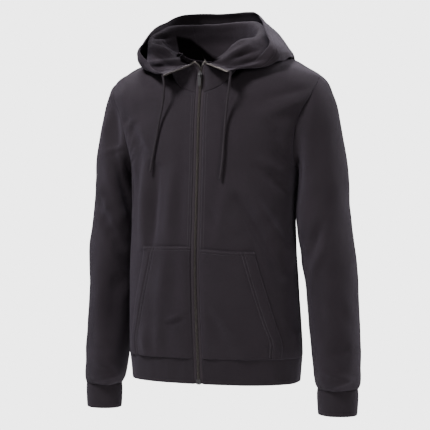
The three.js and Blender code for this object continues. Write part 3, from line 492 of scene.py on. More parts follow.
class Cloth:
    """A sewn piece while its folds are put in: a fine grid, its normals and its flat cut."""

    def __init__(
        self, name, rows, columns, inside, row_way, column_way,
        ring=False, wall=SOFT, corner=None, step=CLOTH_STEP,
    ):
        coarse, self.sign = cloth_grid(name, rows, columns, inside, row_way, column_way, ring, wall)
        self.name, self.ring, self.wall = name, ring, wall
        across = steps_for(coarse, 1, step)
        if ring:
            wide = np.concatenate([coarse[:, -2:], coarse, coarse[:, :3]], 1).transpose(1, 0, 2)
            wide = finer(wide, across)[2 * across : -2 * across - 1].transpose(1, 0, 2)
            self.points = finer(wide, steps_for(coarse, 0, step))
        else:
            up = steps_for(coarse, 0, step)
            tall = finer(coarse, up)
            if corner:
                tall[: corner * up + 1, 0] = finer(coarse[: corner + 1, 0], up)
                tall[corner * up :, 0] = finer(coarse[corner:, 0], up)
            self.points = finer(tall.transpose(1, 0, 2), across).transpose(1, 0, 2)
        self.up_steps = (len(self.points) - 1) // (rows - 1)
        # Painted shade: 0 to 1, how far each point is mixed to matt black; with the outside flag it goes
        # on the outer side too.
        self.dark, self.painted_shade_outside = np.zeros(self.points.shape[:2]), False
        self.measure()

    def measure(self):
        p = self.points
        if self.ring:
            closed = np.concatenate([p[:, -1:], p, p[:, :1]], 1)
            across = (closed[:, 2:] - closed[:, :-2]) / 2
            round_it = np.concatenate([p, p[:, :1]], 1)
        else:
            across = np.gradient(p, axis=1)
            round_it = p
        self.normals = unit(np.cross(across, np.gradient(p, axis=0))) * self.sign
        gaps = np.linalg.norm(np.diff(round_it, axis=1), axis=-1)
        u = np.concatenate([np.zeros((len(p), 1)), np.cumsum(gaps, 1)], 1)
        self.width = float(u[:, -1].max())
        rise = np.linalg.norm(np.diff(round_it, axis=0), axis=-1)
        v = np.concatenate([np.zeros((1, round_it.shape[1])), np.cumsum(rise, 0)], 0)
        self.length = float(v[-1].max())
        self.flat = np.stack([u, v], -1)
        cell = 0.5 * (gaps[1:] + gaps[:-1]) * 0.5 * (rise[:, 1:] + rise[:, :-1])
        self.area = float(cell.sum())

    def lengthen(self, amount):
        """Carry the first row on by so many metres, into the seam."""
        way = unit(self.points[0] - self.points[1])
        self.points[0] = self.points[0] + way * amount
        self.measure()

    def move(self, amount):
        """Raise the cloth along its normals by so many millimetres."""
        self.points = self.points + self.normals * np.asarray(amount)[..., None] / 1000
        self.measure()

    def border(self, side):
        """How far each point is from one border, in millimetres."""
        u, v = self.flat[..., 0], self.flat[..., 1]
        if self.ring:
            u, v = u[:, :-1], v[:, :-1]
        return {"start": u, "end": u[:, -1:] - u, "low": v, "top": v[-1:] - v}[side] * 1000

    def inset(self, side, distance):
        """A line on the cloth, so many millimetres in from a border."""
        p, n = self.points, self.normals
        if side in ("low", "top"):
            p, n = p.transpose(1, 0, 2), n.transpose(1, 0, 2)
        if side in ("end", "top"):
            p, n = p[:, ::-1], n[:, ::-1]
        line = []
        for row in p:
            run = run_along(row)
            line.append([np.interp(distance / 1000, run, row[:, i]) for i in range(3)])
        line = np.array(line)
        for _ in range(6):
            line[1:-1] = (line[:-2] + 2 * line[1:-1] + line[2:]) / 4
        return np.concatenate([line, line[:1]]) if self.ring and side in ("low", "top") else line

    def build(self, material, round_edge):
        """The closed wall, with a rounded cut edge all round."""
        rows, columns = self.points.shape[:2]
        thickness = self.wall
        outer, inner = self.points, self.points - self.normals * thickness
        corners = list(outer.reshape(-1, 3)) + list(inner.reshape(-1, 3))
        back = rows * columns
        wide = columns if self.ring else columns - 1
        faces, maps = [], []
        flat = self.flat

        def face(order, places):
            if self.sign < 0:
                order, places = order[::-1], places[::-1]
            faces.append(order)
            maps.extend(places)

        for r in range(rows - 1):
            for k in range(wide):
                n = (k + 1) % columns
                a, b, c, d = r * columns + k, r * columns + n, (r + 1) * columns + n, (r + 1) * columns + k
                spots = [flat[r, k], flat[r, k + 1], flat[r + 1, k + 1], flat[r + 1, k]]
                face([a, b, c, d], spots)
                face([back + d, back + c, back + b, back + a], spots[::-1])
        if self.ring:
            loops = [
                [(0, k) for k in range(columns)],
                [(rows - 1, k) for k in reversed(range(columns))],
            ]
        else:
            loops = [
                [(0, k) for k in range(columns - 1)]
                + [(r, columns - 1) for r in range(rows - 1)]
                + [(rows - 1, k) for k in range(columns - 1, 0, -1)]
                + [(r, 0) for r in range(rows - 1, 0, -1)]
            ]
        for loop in loops:
            first = len(corners)
            for r, k in loop:
                inward_r = 1 if r == 0 else (rows - 2 if r == rows - 1 else r)
                inward_k = k if self.ring else (1 if k == 0 else (columns - 2 if k == columns - 1 else k))
                out = unit(outer[r, k] - outer[inward_r, inward_k])
                corners.append((outer[r, k] + inner[r, k]) / 2 + out * thickness * round_edge)
            count = len(loop)
            for i, (r, k) in enumerate(loop):
                j = (i + 1) % count
                s, t = r * columns + k, loop[j][0] * columns + loop[j][1]
                spot = [flat[r, k]] * 4
                face([t, s, first + i, first + j], spot)
                face([first + j, first + i, back + s, back + t], spot)
        thing = link_mesh(self.name + "_cloth", corners, faces)
        layer = thing.data.uv_layers.new(name="cut")
        layer.data.foreach_set("uv", np.array(maps, float).reshape(-1))
        # Painted shade goes on the inner side, and on the outer side too where the outside flag is set.
        dark = np.zeros(len(corners))
        dark[back : 2 * back] = self.dark.reshape(-1)
        if self.painted_shade_outside:
            dark[:back] = self.dark.reshape(-1)
        thing.data.attributes.new("dark", "FLOAT", "POINT").data.foreach_set("value", dark)
        thing.data.materials.append(material)
        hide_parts(self.name)
        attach(thing, "garment")
        return thing


def ripples(points, seed, size, stretch=(1, 1, 1), waves=14):
    """An even field of soft waves about so many metres long, from -1 to 1."""
    dice = np.random.default_rng(seed)
    total = np.zeros(points.shape[:-1])
    for _ in range(waves):
        way = unit(dice.normal(size=3)) / np.array(stretch)
        length = size * dice.uniform(0.7, 1.5)
        total += np.sin(points @ way * 2 * math.pi / length + dice.uniform(0, 6.28))
    return total / math.sqrt(waves)


def near(distance, width, power=2):
    """1 on a line, and fading to nothing past its width to either side."""
    return np.exp(-((distance / width) ** power))


def pressed(distance, depth, width):
    """A seam's groove: how far the cloth sinks at a distance from it, all in millimetres."""
    return -depth * near(distance, width)


def sew_in(cloth, material, under, round_edge=0.35):
    """Build a piece, and say its finish, its cut and how it is held; what it rests on, under, is not used.
    """
    piece = cloth.build(material, round_edge)


FOLD_DEPTH = 2.3


def seen_folds(cloth, folds, rolled_out=False):
    """Folds given as strokes of the picture: from, to, width in pixels, rise in millimetres.

    Where cloth is rolled out, its inner side is seen, and it rises against its normals.
    """
    places = seen_at(cloth.points)
    toward = np.array(camera_place) - cloth.points
    facing = np.clip((unit(toward) * cloth.normals).sum(-1) * 3, -1 if rolled_out else 0, 1)
    if rolled_out:
        facing = facing * np.clip((0.03 - cloth.points[..., 1]) / 0.03, 0, 1)
    total = np.zeros(places.shape[:-1])
    for start_x, start_y, end_x, end_y, width, rise in folds:
        rise = rise * FOLD_DEPTH
        way = np.array([end_x - start_x, end_y - start_y], float)
        gone = places - np.array([start_x, start_y])
        share = np.clip((gone @ way) / (way @ way), 0, 1)
        away = np.linalg.norm(gone - share[..., None] * way, axis=-1)
        taper = np.sin(math.pi * (0.1 + 0.8 * share)) ** 0.7
        total += rise * taper * near(away, width)
    return total * facing


NAPPED = {"Sheen_Roughness": 0.5, "Sheen_Tint": (0.3, 0.26, 0.33, 1), "Specular_IOR_Level": 0.12}


def brushed_cloth(name, low, high, wale=1.25, course=0.95):
    """Jersey with a brushed face: columns of tiny loops under a short nap."""
    finish = Finish(name)
    u, v = finish.flat_place()
    column = u / wale
    leg = abs(column.between() - 0.5) * 2
    loops = (v / course + leg * 0.7).wave() * 0.55 + column.wave() * 0.45
    fibres = finish.noise(1900, detail=4, rough=0.6)
    tufts = finish.noise(420, detail=3)
    worn = finish.noise(9, detail=4, rough=0.6)
    # The loops' share of the colour is painted shade: darker between the loops, where their bump is low.
    amount = fibres * 0.75 + tufts * 0.45 + worn * 0.45 + loops * 0.2 - 0.48
    colour = finish.colours(amount, low, high)
    soft = finish.bump(tufts * 0.6 + fibres * 0.5, 0.0009, 0.9)
    normal = finish.bump(loops, 0.0004, 0.8, over=soft)
    # Painted shade: the cloth is mixed to matt black by the piece's painted shade attribute.
    dark = finish.node("ShaderNodeAttribute", output="Fac", settings={"attribute_name": "dark"})
    finish.paint_shade_black(dark)
    return finish.shade(Base_Color=colour, Normal=normal, Roughness=0.92, Sheen_Weight=0.2, **NAPPED)


charcoal = brushed_cloth("charcoal_sweatshirt", (0.0115, 0.0085, 0.0102), (0.034, 0.0265, 0.031))

# Strokes of the picture for each half, as seen_folds takes them.
FRONT_FOLDS = {
    "right": [
        (148, 160, 142, 246, 5.0, 4.6),
        (157, 168, 151, 245, 4.5, -3.4),
        (173, 170, 166, 242, 6.5, 2.8),
        (184, 150, 182, 240, 6.0, -1.4),
        (128, 122, 140, 146, 5.0, -2.4),
        (123, 130, 136, 118, 3.5, 1.2),
        (140, 128, 150, 150, 4.0, 1.2),
        (126, 158, 132, 205, 5.0, -2.2),
        (165, 252, 160, 305, 6.0, 1.9),
        (176, 250, 174, 310, 7.0, -1.2),
        (160, 312, 158, 352, 5.5, 1.8),
        (144, 332, 146, 354, 5.0, 2.8),
        (168, 320, 187, 313, 2.8, 1.3),
        (170, 325, 190, 319, 3.0, -1.0),
    ],
    "left": [
        (268, 98, 308, 88, 4.5, -1.3),
        (262, 114, 308, 99, 6.5, 2.0),
        (238, 200, 282, 275, 6.0, -4.4),
        (250, 195, 293, 258, 6.0, 3.6),
        (256, 166, 288, 192, 5.0, -2.0),
        (262, 160, 292, 182, 4.5, 1.3),
        (270, 126, 280, 142, 4.5, -1.3),
        (226, 190, 216, 240, 7.0, 1.4),
        (207, 205, 216, 222, 3.0, -1.2),
        (206, 316, 224, 345, 6.0, -1.5),
        (214, 308, 234, 336, 6.0, 1.2),
        (297, 335, 296, 357, 5.0, 2.6),
        (262, 330, 282, 352, 6.0, 1.3),
    ],
}


def draped(points):
    """Shallow uneven drape that a panel and the pocket on it share."""
    return ripples(points, 7, 0.11, (1, 1, 2.2)) * 0.9 + ripples(points, 5, 0.042, (1, 1, 1.8)) * 0.38


SIDES = ("left", 1), ("right", -1)
CORNER_ROW = 16  # where a front's edge turns from the zip to the neck
FRONTS = {}
for side, way in SIDES:
    place = (0, 0, -0.3), (0, 0, 1), (way, 0, 0)
    panel = Cloth("front_" + side, 23, 13, *place, corner=CORNER_ROW)
    settled = 1 - near(panel.border("start"), 22)
    seams = pressed(panel.border("end"), 0.2, 3.5) + pressed(panel.border("low"), 0.15, 3)
    seams += pressed(panel.border("top"), 0.2, 3)
    stitched = near(panel.border("start") - 6, 5) * ripples(panel.points, 3, 0.014) * 0.3
    stitched += near(panel.border("low"), 9) * ripples(panel.points, 4, 0.013, (1, 1, 3)) * 0.4
    folds = draped(panel.points) + seen_folds(panel, FRONT_FOLDS[side])
    panel.move(folds * settled + seams + stitched)
    # Painted shade: within about 14 mm of the zip edge, at the neck, the front is painted black on both
    # sides, as the shade inside the neck opening.
    by_neck = np.clip((panel.points[..., 2] + 0.06) / 0.02, 0, 1)
    panel.dark = near(panel.border("start"), 14, 4) * by_neck
    panel.painted_shade_outside = True
    sew_in(panel, charcoal, "back")
    FRONTS[side] = panel

# Back panel
# One piece from side seam to side seam, sewn to the fronts, the sleeves and the hood.
back = Cloth("back", 23, 23, (0, 0, -0.3), (0, 0, 1), (1, 0, 0), step=0.0048)
lie = ripples(back.points, 21, 0.12, (1, 1, 2.6)) * 2.4
lie += ripples(back.points, 22, 0.05, (1, 1, 1.4)) * 0.6
lie *= 1 - near(np.minimum(back.border("start"), back.border("end")), 18)
seams = sum(pressed(back.border(edge), 0.4, 3.5) for edge in ("start", "end", "low", "top"))
back.move(lie + seams)
sew_in(back, charcoal, "front_left")

# Pockets
# A split pouch: one piece on each front, with a slanted open mouth. Its top edge and the
# mouth's wide hem are sewn with two rows each.
# Rows of stitches, in millimetres from the pocket's top and from its mouth.
TOP_ROWS = 1.8, 8.2
MOUTH_ROWS = 1.8, 22.0, 28.0
POCKETS = {}
for side, way in SIDES:
    pocket = Cloth("pocket_" + side, 8, 8, (0, 0, -0.5), (0, 0, 1), (way, 0, 0), step=0.0018)
    mouth, top = pocket.border("end"), pocket.border("top")
    hem = near(mouth - 12, 9, 4) * 0.9
    hem = hem - (near(mouth - MOUTH_ROWS[1], 1.8) + near(mouth - 28.5, 1.8)) * 0.75
    hem = hem + near(mouth - 25, 2.4) * 0.5 - near(mouth, 1.6) * 0.5
    sewn = -(near(top - TOP_ROWS[0], 1.5) + near(top - TOP_ROWS[1], 1.7)) * 0.7
    sewn = sewn + near(top - 5, 2.2) * 0.8
    edges = np.minimum(mouth / 30, pocket.border("low") / 60)
    bulge = np.sin(np.clip(edges / 3, 0, 1) * math.pi / 2) * 1.5
    puckers = near(np.minimum(top, abs(mouth - 25)), 8) * ripples(pocket.points, 33, 0.012) * 0.35
    settled = 1 - near(pocket.border("start"), 22)
    folds = seen_folds(pocket, FRONT_FOLDS[side]) * settled
    zip_side = pressed(pocket.border("start"), 2.1, 7)
    hem = hem * (1.5 if side == "right" else 1.15)
    lie = draped(pocket.points) * settled
    pocket.move(hem + sewn + zip_side + bulge + puckers + lie + folds)
    sew_in(pocket, charcoal, "front_" + side)
    POCKETS[side] = pocket

# Sleeves
# Each is one piece closed by an underarm seam, set into the armhole and gathered a little
# over the cuff.
SLEEVE_FOLDS = {
    "right": [
        (112, 106, 116, 148, 6.0, -5.2),
        (106, 152, 122, 146, 2.8, 1.8),
        (104, 158, 124, 222, 7.0, 3.2),
        (114, 156, 134, 222, 4.5, -2.6),
        (98, 190, 122, 250, 7.0, 1.6),
        (99, 204, 126, 264, 5.0, -2.4),
        (118, 262, 112, 335, 9.0, -2.6),
        (98, 262, 103, 340, 7.0, 1.4),
        (92, 360, 118, 371, 3.5, 1.8),
        (98, 379, 120, 374, 3.0, 1.5),
        (96, 345, 116, 350, 4.0, -1.2),
    ],
    "left": [
        (321, 224, 307, 260, 6.0, -4.0),
        (326, 244, 312, 274, 4.5, 1.8),
        (316, 262, 322, 330, 7.0, -1.8),
        (300, 132, 297, 200, 5.0, -2.2),
        (312, 112, 309, 190, 7.0, 1.4),
        (330, 96, 338, 150, 8.0, 1.2),
        (328, 300, 346, 322, 7.0, -1.3),
        (322, 372, 348, 380, 3.5, 1.8),
        (330, 387, 352, 380, 3.0, 1.6),
        (328, 356, 352, 350, 5.0, -1.4),
    ],
}
for side, way in SIDES:
    place = (way * 0.25, 0, -0.45), (0, 0, -1), (-way, 0, 0)
    sleeve = Cloth("sleeve_" + side, 22, 20, *place, ring=True, step=0.0043)
    by_armhole, by_cuff = sleeve.border("low"), sleeve.border("top")
    gathered = near(by_cuff, 16) * ripples(sleeve.points, 41 + way, 0.018, (1, 1, 4)) * 0.8
    blouse = near(by_cuff - 14, 9) * 0.4 + pressed(by_cuff, 0.4, 4)
    lie = ripples(sleeve.points, 43 + way, 0.09, (1, 1, 1.3)) * 1.4
    lie += ripples(sleeve.points, 45, 0.036, (1, 1, 1.4)) * 0.4
    lie *= 1 - near(by_armhole, 12)
    folds = seen_folds(sleeve, SLEEVE_FOLDS[side]) + pressed(by_armhole, 0.1, 3.5)
    sleeve.move(lie + gathered + blouse + folds)
    sew_in(sleeve, charcoal, "back")

# Hood
# Two sides and a middle strip, worn down: the stand rolls out at the neck and the rest
# hangs behind as a bag. Its front edge is a rim with the drawcord's tunnel.
HOOD_FOLDS = [
    (151, 38, 172, 30, 2.0, 2.2),
    (155, 39, 174, 37, 2.2, -2.4),
    (152, 42, 175, 41, 2.0, 2.2),
    (160, 43, 175, 52, 2.0, 2.0),
    (156, 51, 168, 57, 3.4, -1.9),
    (151, 63, 181, 61, 2.2, 2.0),
    (154, 67, 176, 65, 2.0, -1.4),
    (222, 62, 248, 46, 3.0, 2.2),
    (228, 67, 264, 59, 2.8, -2.0),
    (232, 59, 256, 51, 2.4, -1.7),
    (250, 66, 272, 64, 2.8, 1.7),
    (238, 26, 232, 44, 2.4, -2.0),
]
# In pixels of the picture: the neck hollow's upper line, below which the hollow is painted black as shade,
# and the lapel's edge beside it.
NECK_HOLLOW = (176, 191, 202, 213, 228), (34, 37, 46, 55.5, 62)
LAPEL_X, LAPEL_Y, LAPEL_SLANT = 175, 36, 0.18
# The painted black hollow reaches HOLLOW_ROWS and the painted shade SHADED_ROWS up from the neck's seam.
HOLLOW_ROWS, SHADED_ROWS = 6.5, 9  # how far from the neck's seam, in rows of the solid
RIM_HEM = 24.0  # the tunnel's row of stitches, in millimetres from the rim
HOODS = {}
HOOD_PARTS = {
    "right": (17, (-1, 0, 0.5), (0, 1, 0)),
    "centre": (5, (0, 1, 1), (1, 0, 0)),
    "left": (17, (1, 0, 0.5), (0, -1, 0)),
}
for part, (columns, row_way, column_way) in HOOD_PARTS.items():
    place = (0, -0.01, 0.02), row_way, column_way
    hood = Cloth("hood_" + part, 19, columns, *place, step=0.003)
    lie = ripples(hood.points, 51, 0.08) * 1.1 + ripples(hood.points, 52, 0.03) * 0.35
    ease_off = 1 - near(hood.border("low"), 10)
    rim = hood.border("top")
    tunnel = near(rim - 11, 8) * 0.9 + pressed(rim - RIM_HEM, 0.7, 2.5)
    seams = 0
    if part in ("right", "centre"):
        seams = seams + pressed(hood.border("end"), 0.7, 2.5)
    if part in ("left", "centre"):
        seams = seams + pressed(hood.border("start"), 0.7, 2.5)
    folds = seen_folds(hood, HOOD_FOLDS, rolled_out=True)
    hood.move(lie * ease_off + tunnel + seams + folds * ease_off)
    # Painted shade, placed by where points fall in the camera's picture: the inner side of the rows near
    # the neck seam is painted black below the hollow's line and right of the lapel's edge.
    across, down = np.moveaxis(seen_at(hood.points), -1, 0)
    row = np.arange(len(hood.points))[:, None] / hood.up_steps
    hollow = down - np.interp(across, NECK_HOLLOW[0], NECK_HOLLOW[1])
    lapel = across - LAPEL_X - np.clip(down - LAPEL_Y, 0, 30) * LAPEL_SLANT
    deep = np.clip(hollow / 7 + 0.5, 0, 1) * np.clip(lapel / 2.5 + 0.5, 0, 1)
    deep = deep * np.clip(HOLLOW_ROWS - row, 0, 1)
    # Painted shade: the rest of those inner rows is painted darker, more so towards the picture's left.
    shade = 0.12 + 0.48 * np.clip((235 - across) / 40, 0, 1)
    hood.dark = np.maximum(deep, shade * np.clip(SHADED_ROWS - row, 0, 1))
    sew_in(hood, charcoal, "back")
    HOODS[part] = hood


# Hem band and cuffs
# A fine rib knit, doubled over and sewn on a little stretched, so that it draws the cloth in.
def rib_knit(name, low, high, rib=2.1, course=0.9):
    finish = Finish(name)
    u, v = finish.flat_place()
    ribs = (u / rib).wave()
    loops = (v / course + abs((u / rib).between() - 0.5)).wave()
    fibres = finish.noise(1900, detail=4, rough=0.6)
    worn = finish.noise(11, detail=3)
    # Painted shade: the colour is darker in the rib's valleys and between loops, following their bump.
    colour = finish.colours(ribs * 0.35 + fibres * 0.5 + worn * 0.2 + loops * 0.1 - 0.1, low, high)
    soft = finish.bump(fibres, 0.0003, 0.7)
    normal = finish.bump(ribs * 0.85 + loops * 0.15, 0.0005, 0.8, over=soft)
    return finish.shade(Base_Color=colour, Normal=normal, Roughness=0.9, Sheen_Weight=0.16, **NAPPED)


RIB = 0.0026  # wall of the doubled rib
SEAM_LAP = 0.0012  # how far a rib runs on into its seam
charcoal_rib = rib_knit("charcoal_rib", (0.0095, 0.007, 0.0085), (0.031, 0.0245, 0.0285))
band = Cloth("hem_band", 5, 47, (0, 0, -0.64), (0, 0, -1), (1, 0, 0), wall=RIB)
band.lengthen(SEAM_LAP)
band.move(
    ripples(band.points, 61, 0.05, (1, 1, 3)) * 0.55
    + ripples(band.points, 62, 0.016, (1, 1, 6)) * 0.2
    + pressed(band.border("low"), 0.3, 3)
    + pressed(band.border("top"), 0.6, 2)
)
sew_in(band, charcoal_rib, "back", 0.5)
for side, way in SIDES:
    place = (way * 0.26, 0, -0.7), (0, 0, -1), (-way, 0, 0)
    cuff = Cloth("cuff_" + side, 4, 20, *place, ring=True, wall=RIB)
    cuff.lengthen(SEAM_LAP)
    cuff.move(
        ripples(cuff.points, 63 + way, 0.045, (1, 1, 3)) * 0.5
        + pressed(cuff.border("low"), 0.3, 3)
        + pressed(cuff.border("top"), 0.6, 2)
    )
    sew_in(cuff, charcoal_rib, "sleeve_" + side, 0.5)


# Zip tapes
# Woven tape sewn under each front edge; above the slider it runs on along the hood's edge.
def woven_tape(yarn=0.7):
    finish = Finish("woven_tape")
    u, v = finish.flat_place()
    weave = ((u / yarn).wave() + (v / yarn).wave()) * 0.5
    fibres = finish.noise(2400, detail=2)
    # Painted shade: the colour is darker between the yarns, following the weave's bump.
    colour = finish.colours(weave * 0.5 + fibres * 0.4, (0.018, 0.014, 0.016), (0.055, 0.044, 0.05))
    normal = finish.bump(weave + fibres * 0.3, 0.0002)
    return finish.shade(Base_Color=colour, Normal=normal, Roughness=0.85, Specular_IOR_Level=0.1)


tape_cloth = woven_tape()
TAPE_FOOT = 0.0085  # how far each tape runs on down behind the bottom box
TAPES = {}
for side, way in SIDES:
    tape = Cloth("zip_tape_" + side, 33, 2, (0, 0, -0.3), (0, 0, 1), (-way, 0, 0), wall=0.001)
    foot = tape.points[:1] + unit(tape.points[:1] - tape.points[2:3]) * TAPE_FOOT
    tape.points = np.concatenate([foot, tape.points])
    tape.dark = np.zeros(tape.points.shape[:2])
    tape.measure()
    ribbon = tape.build(tape_cloth, 0.2)
    TAPES[side] = tape


def tape_between(left, right, thickness=0.0008, below=0.002, inward=0.0005):
    """The tapes' inner halves, which meet under the teeth from the slider to the bottom."""
    lines = []
    for tape in (left, right):
        edge = tape.inset("end", 0.0)
        edge = edge[edge[:, 2] < CHAIN_TOP]
        foot = edge[:1] + (edge[:1] - edge[2:3]) / np.linalg.norm(edge[0] - edge[2]) * below
        lines.append(np.concatenate([foot, edge]))
    count = min(len(line) for line in lines)
    steps = np.linspace(0, 1, count)
    even = []
    for line in lines:
        run = run_along(line)
        even.append(np.stack([np.interp(steps * run[-1], run, line[:, i]) for i in range(3)], -1))
    back_way, out = np.array([0, thickness, 0]), np.array([inward, 0, 0])
    rings = []
    for left_point, right_point in zip(*even):
        a, b = left_point + out, right_point - out
        rings.append([a, b, b + back_way, a + back_way])
    strip = tube("zip_tape_middle", rings, smooth=False)
    layer = strip.data.uv_layers.new(name="cut")
    for loop in strip.data.loops:
        place = strip.data.vertices[loop.vertex_index].co
        layer.data[loop.index].uv = (place.x, place.z)
    return strip


CHAIN_TOP = -0.0455  # the slider's height, where the two rows part
middle = tape_between(TAPES["left"], TAPES["right"])
middle.data.materials.append(tape_cloth)
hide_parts("zip_chain")
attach(middle, "garment")


# Zip teeth
# Cast metal teeth grip each tape's edge in turn. Below the slider the two rows are meshed.
def worn_metal(name, low, high, roughness):
    finish = Finish(name)
    grime = finish.noise(420, detail=4)
    scratches = finish.noise(2600, detail=2)
    colour = finish.colours(grime, low, high)
    return finish.shade(
        Base_Color=colour,
        Metallic=1.0,
        Roughness=scratches * 0.2 + roughness,
        Normal=finish.bump(scratches, 0.00004, 0.4),
    )


tooth_metal = worn_metal("antique_teeth", (0.06, 0.052, 0.048), (0.2, 0.178, 0.16), 0.4)
slider_metal = worn_metal("dark_nickel_slider", (0.045, 0.043, 0.043), (0.12, 0.115, 0.115), 0.42)


def work_mesh(name, work):
    """A bmesh as an object in the scene."""
    mesh = bpy.data.meshes.new(name)
    work.to_mesh(mesh)
    work.free()
    return link(name, mesh)


def tooth_shape():
    """One tooth: a clasp round the tape with a narrower nose."""
    work = bmesh.new()
    for wide, high, deep, x in ((0.0022, 0.0012, 0.0022, 0.0), (0.0014, 0.0008, 0.0016, 0.0016)):
        made = bmesh.ops.create_cube(work, size=1.0)["verts"]
        for v in made:
            v.co = Vector((v.co.x * wide + x, v.co.y * high, v.co.z * deep))
    edges = list(work.edges)
    bmesh.ops.bevel(work, geom=edges, offset=0.00022, segments=1, affect="EDGES")
    return work_mesh("tooth", work)


def repeat_tree(name, on_cloth):
    """Geometry Nodes: copies of a small thing at even steps along a line, turned as cloth faces.

    With on_cloth the line is also moved onto the cloth and lifted off it a little.
    """
    tree = bpy.data.node_groups.new(name, "GeometryNodeTree")
    inputs = {
        "Geometry": "Geometry",
        "Thing": "Object",
        "Cloth": "Object",
        "Pitch": "Float",
        "Lift": "Float",
        "Material": "Material",
    }
    for socket, sort in inputs.items():
        tree.interface.new_socket(socket, in_out="INPUT", socket_type="NodeSocket" + sort)
    tree.interface.new_socket("Geometry", in_out="OUTPUT", socket_type="NodeSocketGeometry")

    def node(kind, output, settings=None, **sources):
        made = tree.nodes.new(kind)
        for key, value in (settings or {}).items():
            setattr(made, key, value)
        for key, source in sources.items():
            tree.links.new(source, made.inputs[key])
        return made.outputs[output]

    def on_surface(value):
        """What the nearest point of the cloth has."""
        vector = {"data_type": "FLOAT_VECTOR"}
        return node("GeometryNodeSampleNearestSurface", "Value", vector, Mesh=cloth, Value=value)

    given = tree.nodes.new("NodeGroupInput").outputs
    line = node("GeometryNodeMeshToCurve", "Curve", Mesh=given["Geometry"])
    even = {"mode": "LENGTH"}
    line = node("GeometryNodeResampleCurve", "Curve", even, Curve=line, Length=given["Pitch"])
    cloth = node("GeometryNodeObjectInfo", "Geometry", Object=given["Cloth"])
    facing = on_surface(node("GeometryNodeInputNormal", "Normal"))
    if on_cloth:
        nearest = on_surface(node("GeometryNodeInputPosition", "Position"))
        scale = {"operation": "SCALE"}
        lift = node("ShaderNodeVectorMath", "Vector", scale, Vector=facing, Scale=given["Lift"])
        line = node("GeometryNodeSetPosition", "Geometry", Geometry=line, Position=nearest, Offset=lift)
    align = "FunctionNodeAlignRotationToVector"
    tangent = node("GeometryNodeInputTangent", "Tangent")
    turned = node(align, "Rotation", {"axis": "Y"}, Vector=tangent)
    upright = {"axis": "Z", "pivot_axis": "Y"}
    turned = node(align, "Rotation", upright, Rotation=turned, Vector=facing)
    thing = node("GeometryNodeObjectInfo", "Geometry", Object=given["Thing"])
    pieces = {"Points": line, "Instance": thing, "Rotation": turned}
    copies = node("GeometryNodeInstanceOnPoints", "Instances", **pieces)
    real = node("GeometryNodeRealizeInstances", "Geometry", Geometry=copies)
    painted = node("GeometryNodeSetMaterial", "Geometry", Geometry=real, Material=given["Material"])
    tree.links.new(painted, tree.nodes.new("NodeGroupOutput").inputs["Geometry"])
    return tree


def line_mesh(name, lines):
    """Open lines of points as one mesh of edges."""
    corners, edges = [], []
    for line in lines:
        first = len(corners)
        corners += [tuple(p) for p in line]
        edges += [(first + i, first + i + 1) for i in range(len(line) - 1)]
    mesh = bpy.data.meshes.new(name)
    mesh.from_pydata(corners, edges, [])
    return link(name, mesh)


def repeated(name, lines, thing, cloth, pitch, lift, material, tree):
    """Runs a repeat tree once and returns what it made as plain faces."""
    guide = line_mesh(name + "_guide", lines)
    modifier = guide.modifiers.new("repeat", "NODES")
    modifier.node_group = tree
    sockets = {s.name: s.identifier for s in tree.interface.items_tree if s.in_out == "INPUT"}
    surface = bpy.data.objects[cloth.name + "_cloth"]
    values = {"Thing": thing, "Cloth": surface, "Pitch": pitch, "Lift": lift, "Material": material}
    for key, value in values.items():
        modifier[sockets[key]] = value
    bpy.context.view_layer.update()
    shown = guide.evaluated_get(bpy.context.evaluated_depsgraph_get())
    mesh = bpy.data.meshes.new_from_object(shown)
    mesh.name = name
    made = link(name, mesh)
    bpy.data.objects.remove(guide)
    if not mesh.materials:
        mesh.materials.append(material)
    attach(made, "garment")
    return made


TEETH_PITCH = 0.0026
zip_tree = repeat_tree("teeth_on_tape", on_cloth=False)
tooth = tooth_shape()
for side, way in SIDES:
    tape = TAPES[side]
    shift = np.array([-way * 0.0012, -0.0006, TEETH_PITCH / 2 if way > 0 else 0.0])
    line = (tape.inset("end", 0.0) + shift)[::-way]
    row = repeated("teeth_" + side, [line], tooth, tape, TEETH_PITCH, 0.0, tooth_metal, zip_tree)
    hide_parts("zip_chain")
bpy.data.objects.remove(tooth)

# Slider, pull tab and bottom box
# Cast and plated. The tab hangs on the slider's bridge and swings on it.
for name in ("zip_slider", "zip_pull", "zip_bottom_box"):
    work = joined_wall(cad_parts[name])
    bmesh.ops.dissolve_limit(work, angle_limit=math.radians(2), verts=work.verts, edges=work.edges)
    metal = work_mesh(name + "_metal", work)
    edge = metal.modifiers.new("worn edges", "BEVEL")
    edge.width, edge.segments, edge.angle_limit = 0.00045, 3, math.radians(40)
    metal.data.materials.append(slider_metal)
    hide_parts(name)
    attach(metal, "pull" if name == "zip_pull" else "garment")


# Topstitching
# Rows of thread: two at the pocket's top, three at its mouth, two beside the zip, one at the
# rim's tunnel and one each side of the hood's middle seams.
def stitch_shape():
    """One stitch: a short fat thread that dips into the cloth at both ends."""
    work = bmesh.new()
    bmesh.ops.create_uvsphere(work, u_segments=6, v_segments=5, radius=1.0)
    for v in work.verts:
        x, y, z = v.co
        v.co = Vector((x * 0.00028, z * 0.00125, y * 0.0002 - 0.00012 * z * z))
    stitch = work_mesh("stitch", work)
    stitch.data.polygons.foreach_set("use_smooth", [True] * len(stitch.data.polygons))
    return stitch


def sewing_thread():
    finish = Finish("sewing_thread")
    fibres = finish.noise(3000, detail=2)
    colour = finish.colours(fibres, (0.045, 0.038, 0.043), (0.11, 0.095, 0.105))
    normal = finish.bump(fibres, 0.0001)
    return finish.shade(Base_Color=colour, Normal=normal, Roughness=0.75, Specular_IOR_Level=0.2)


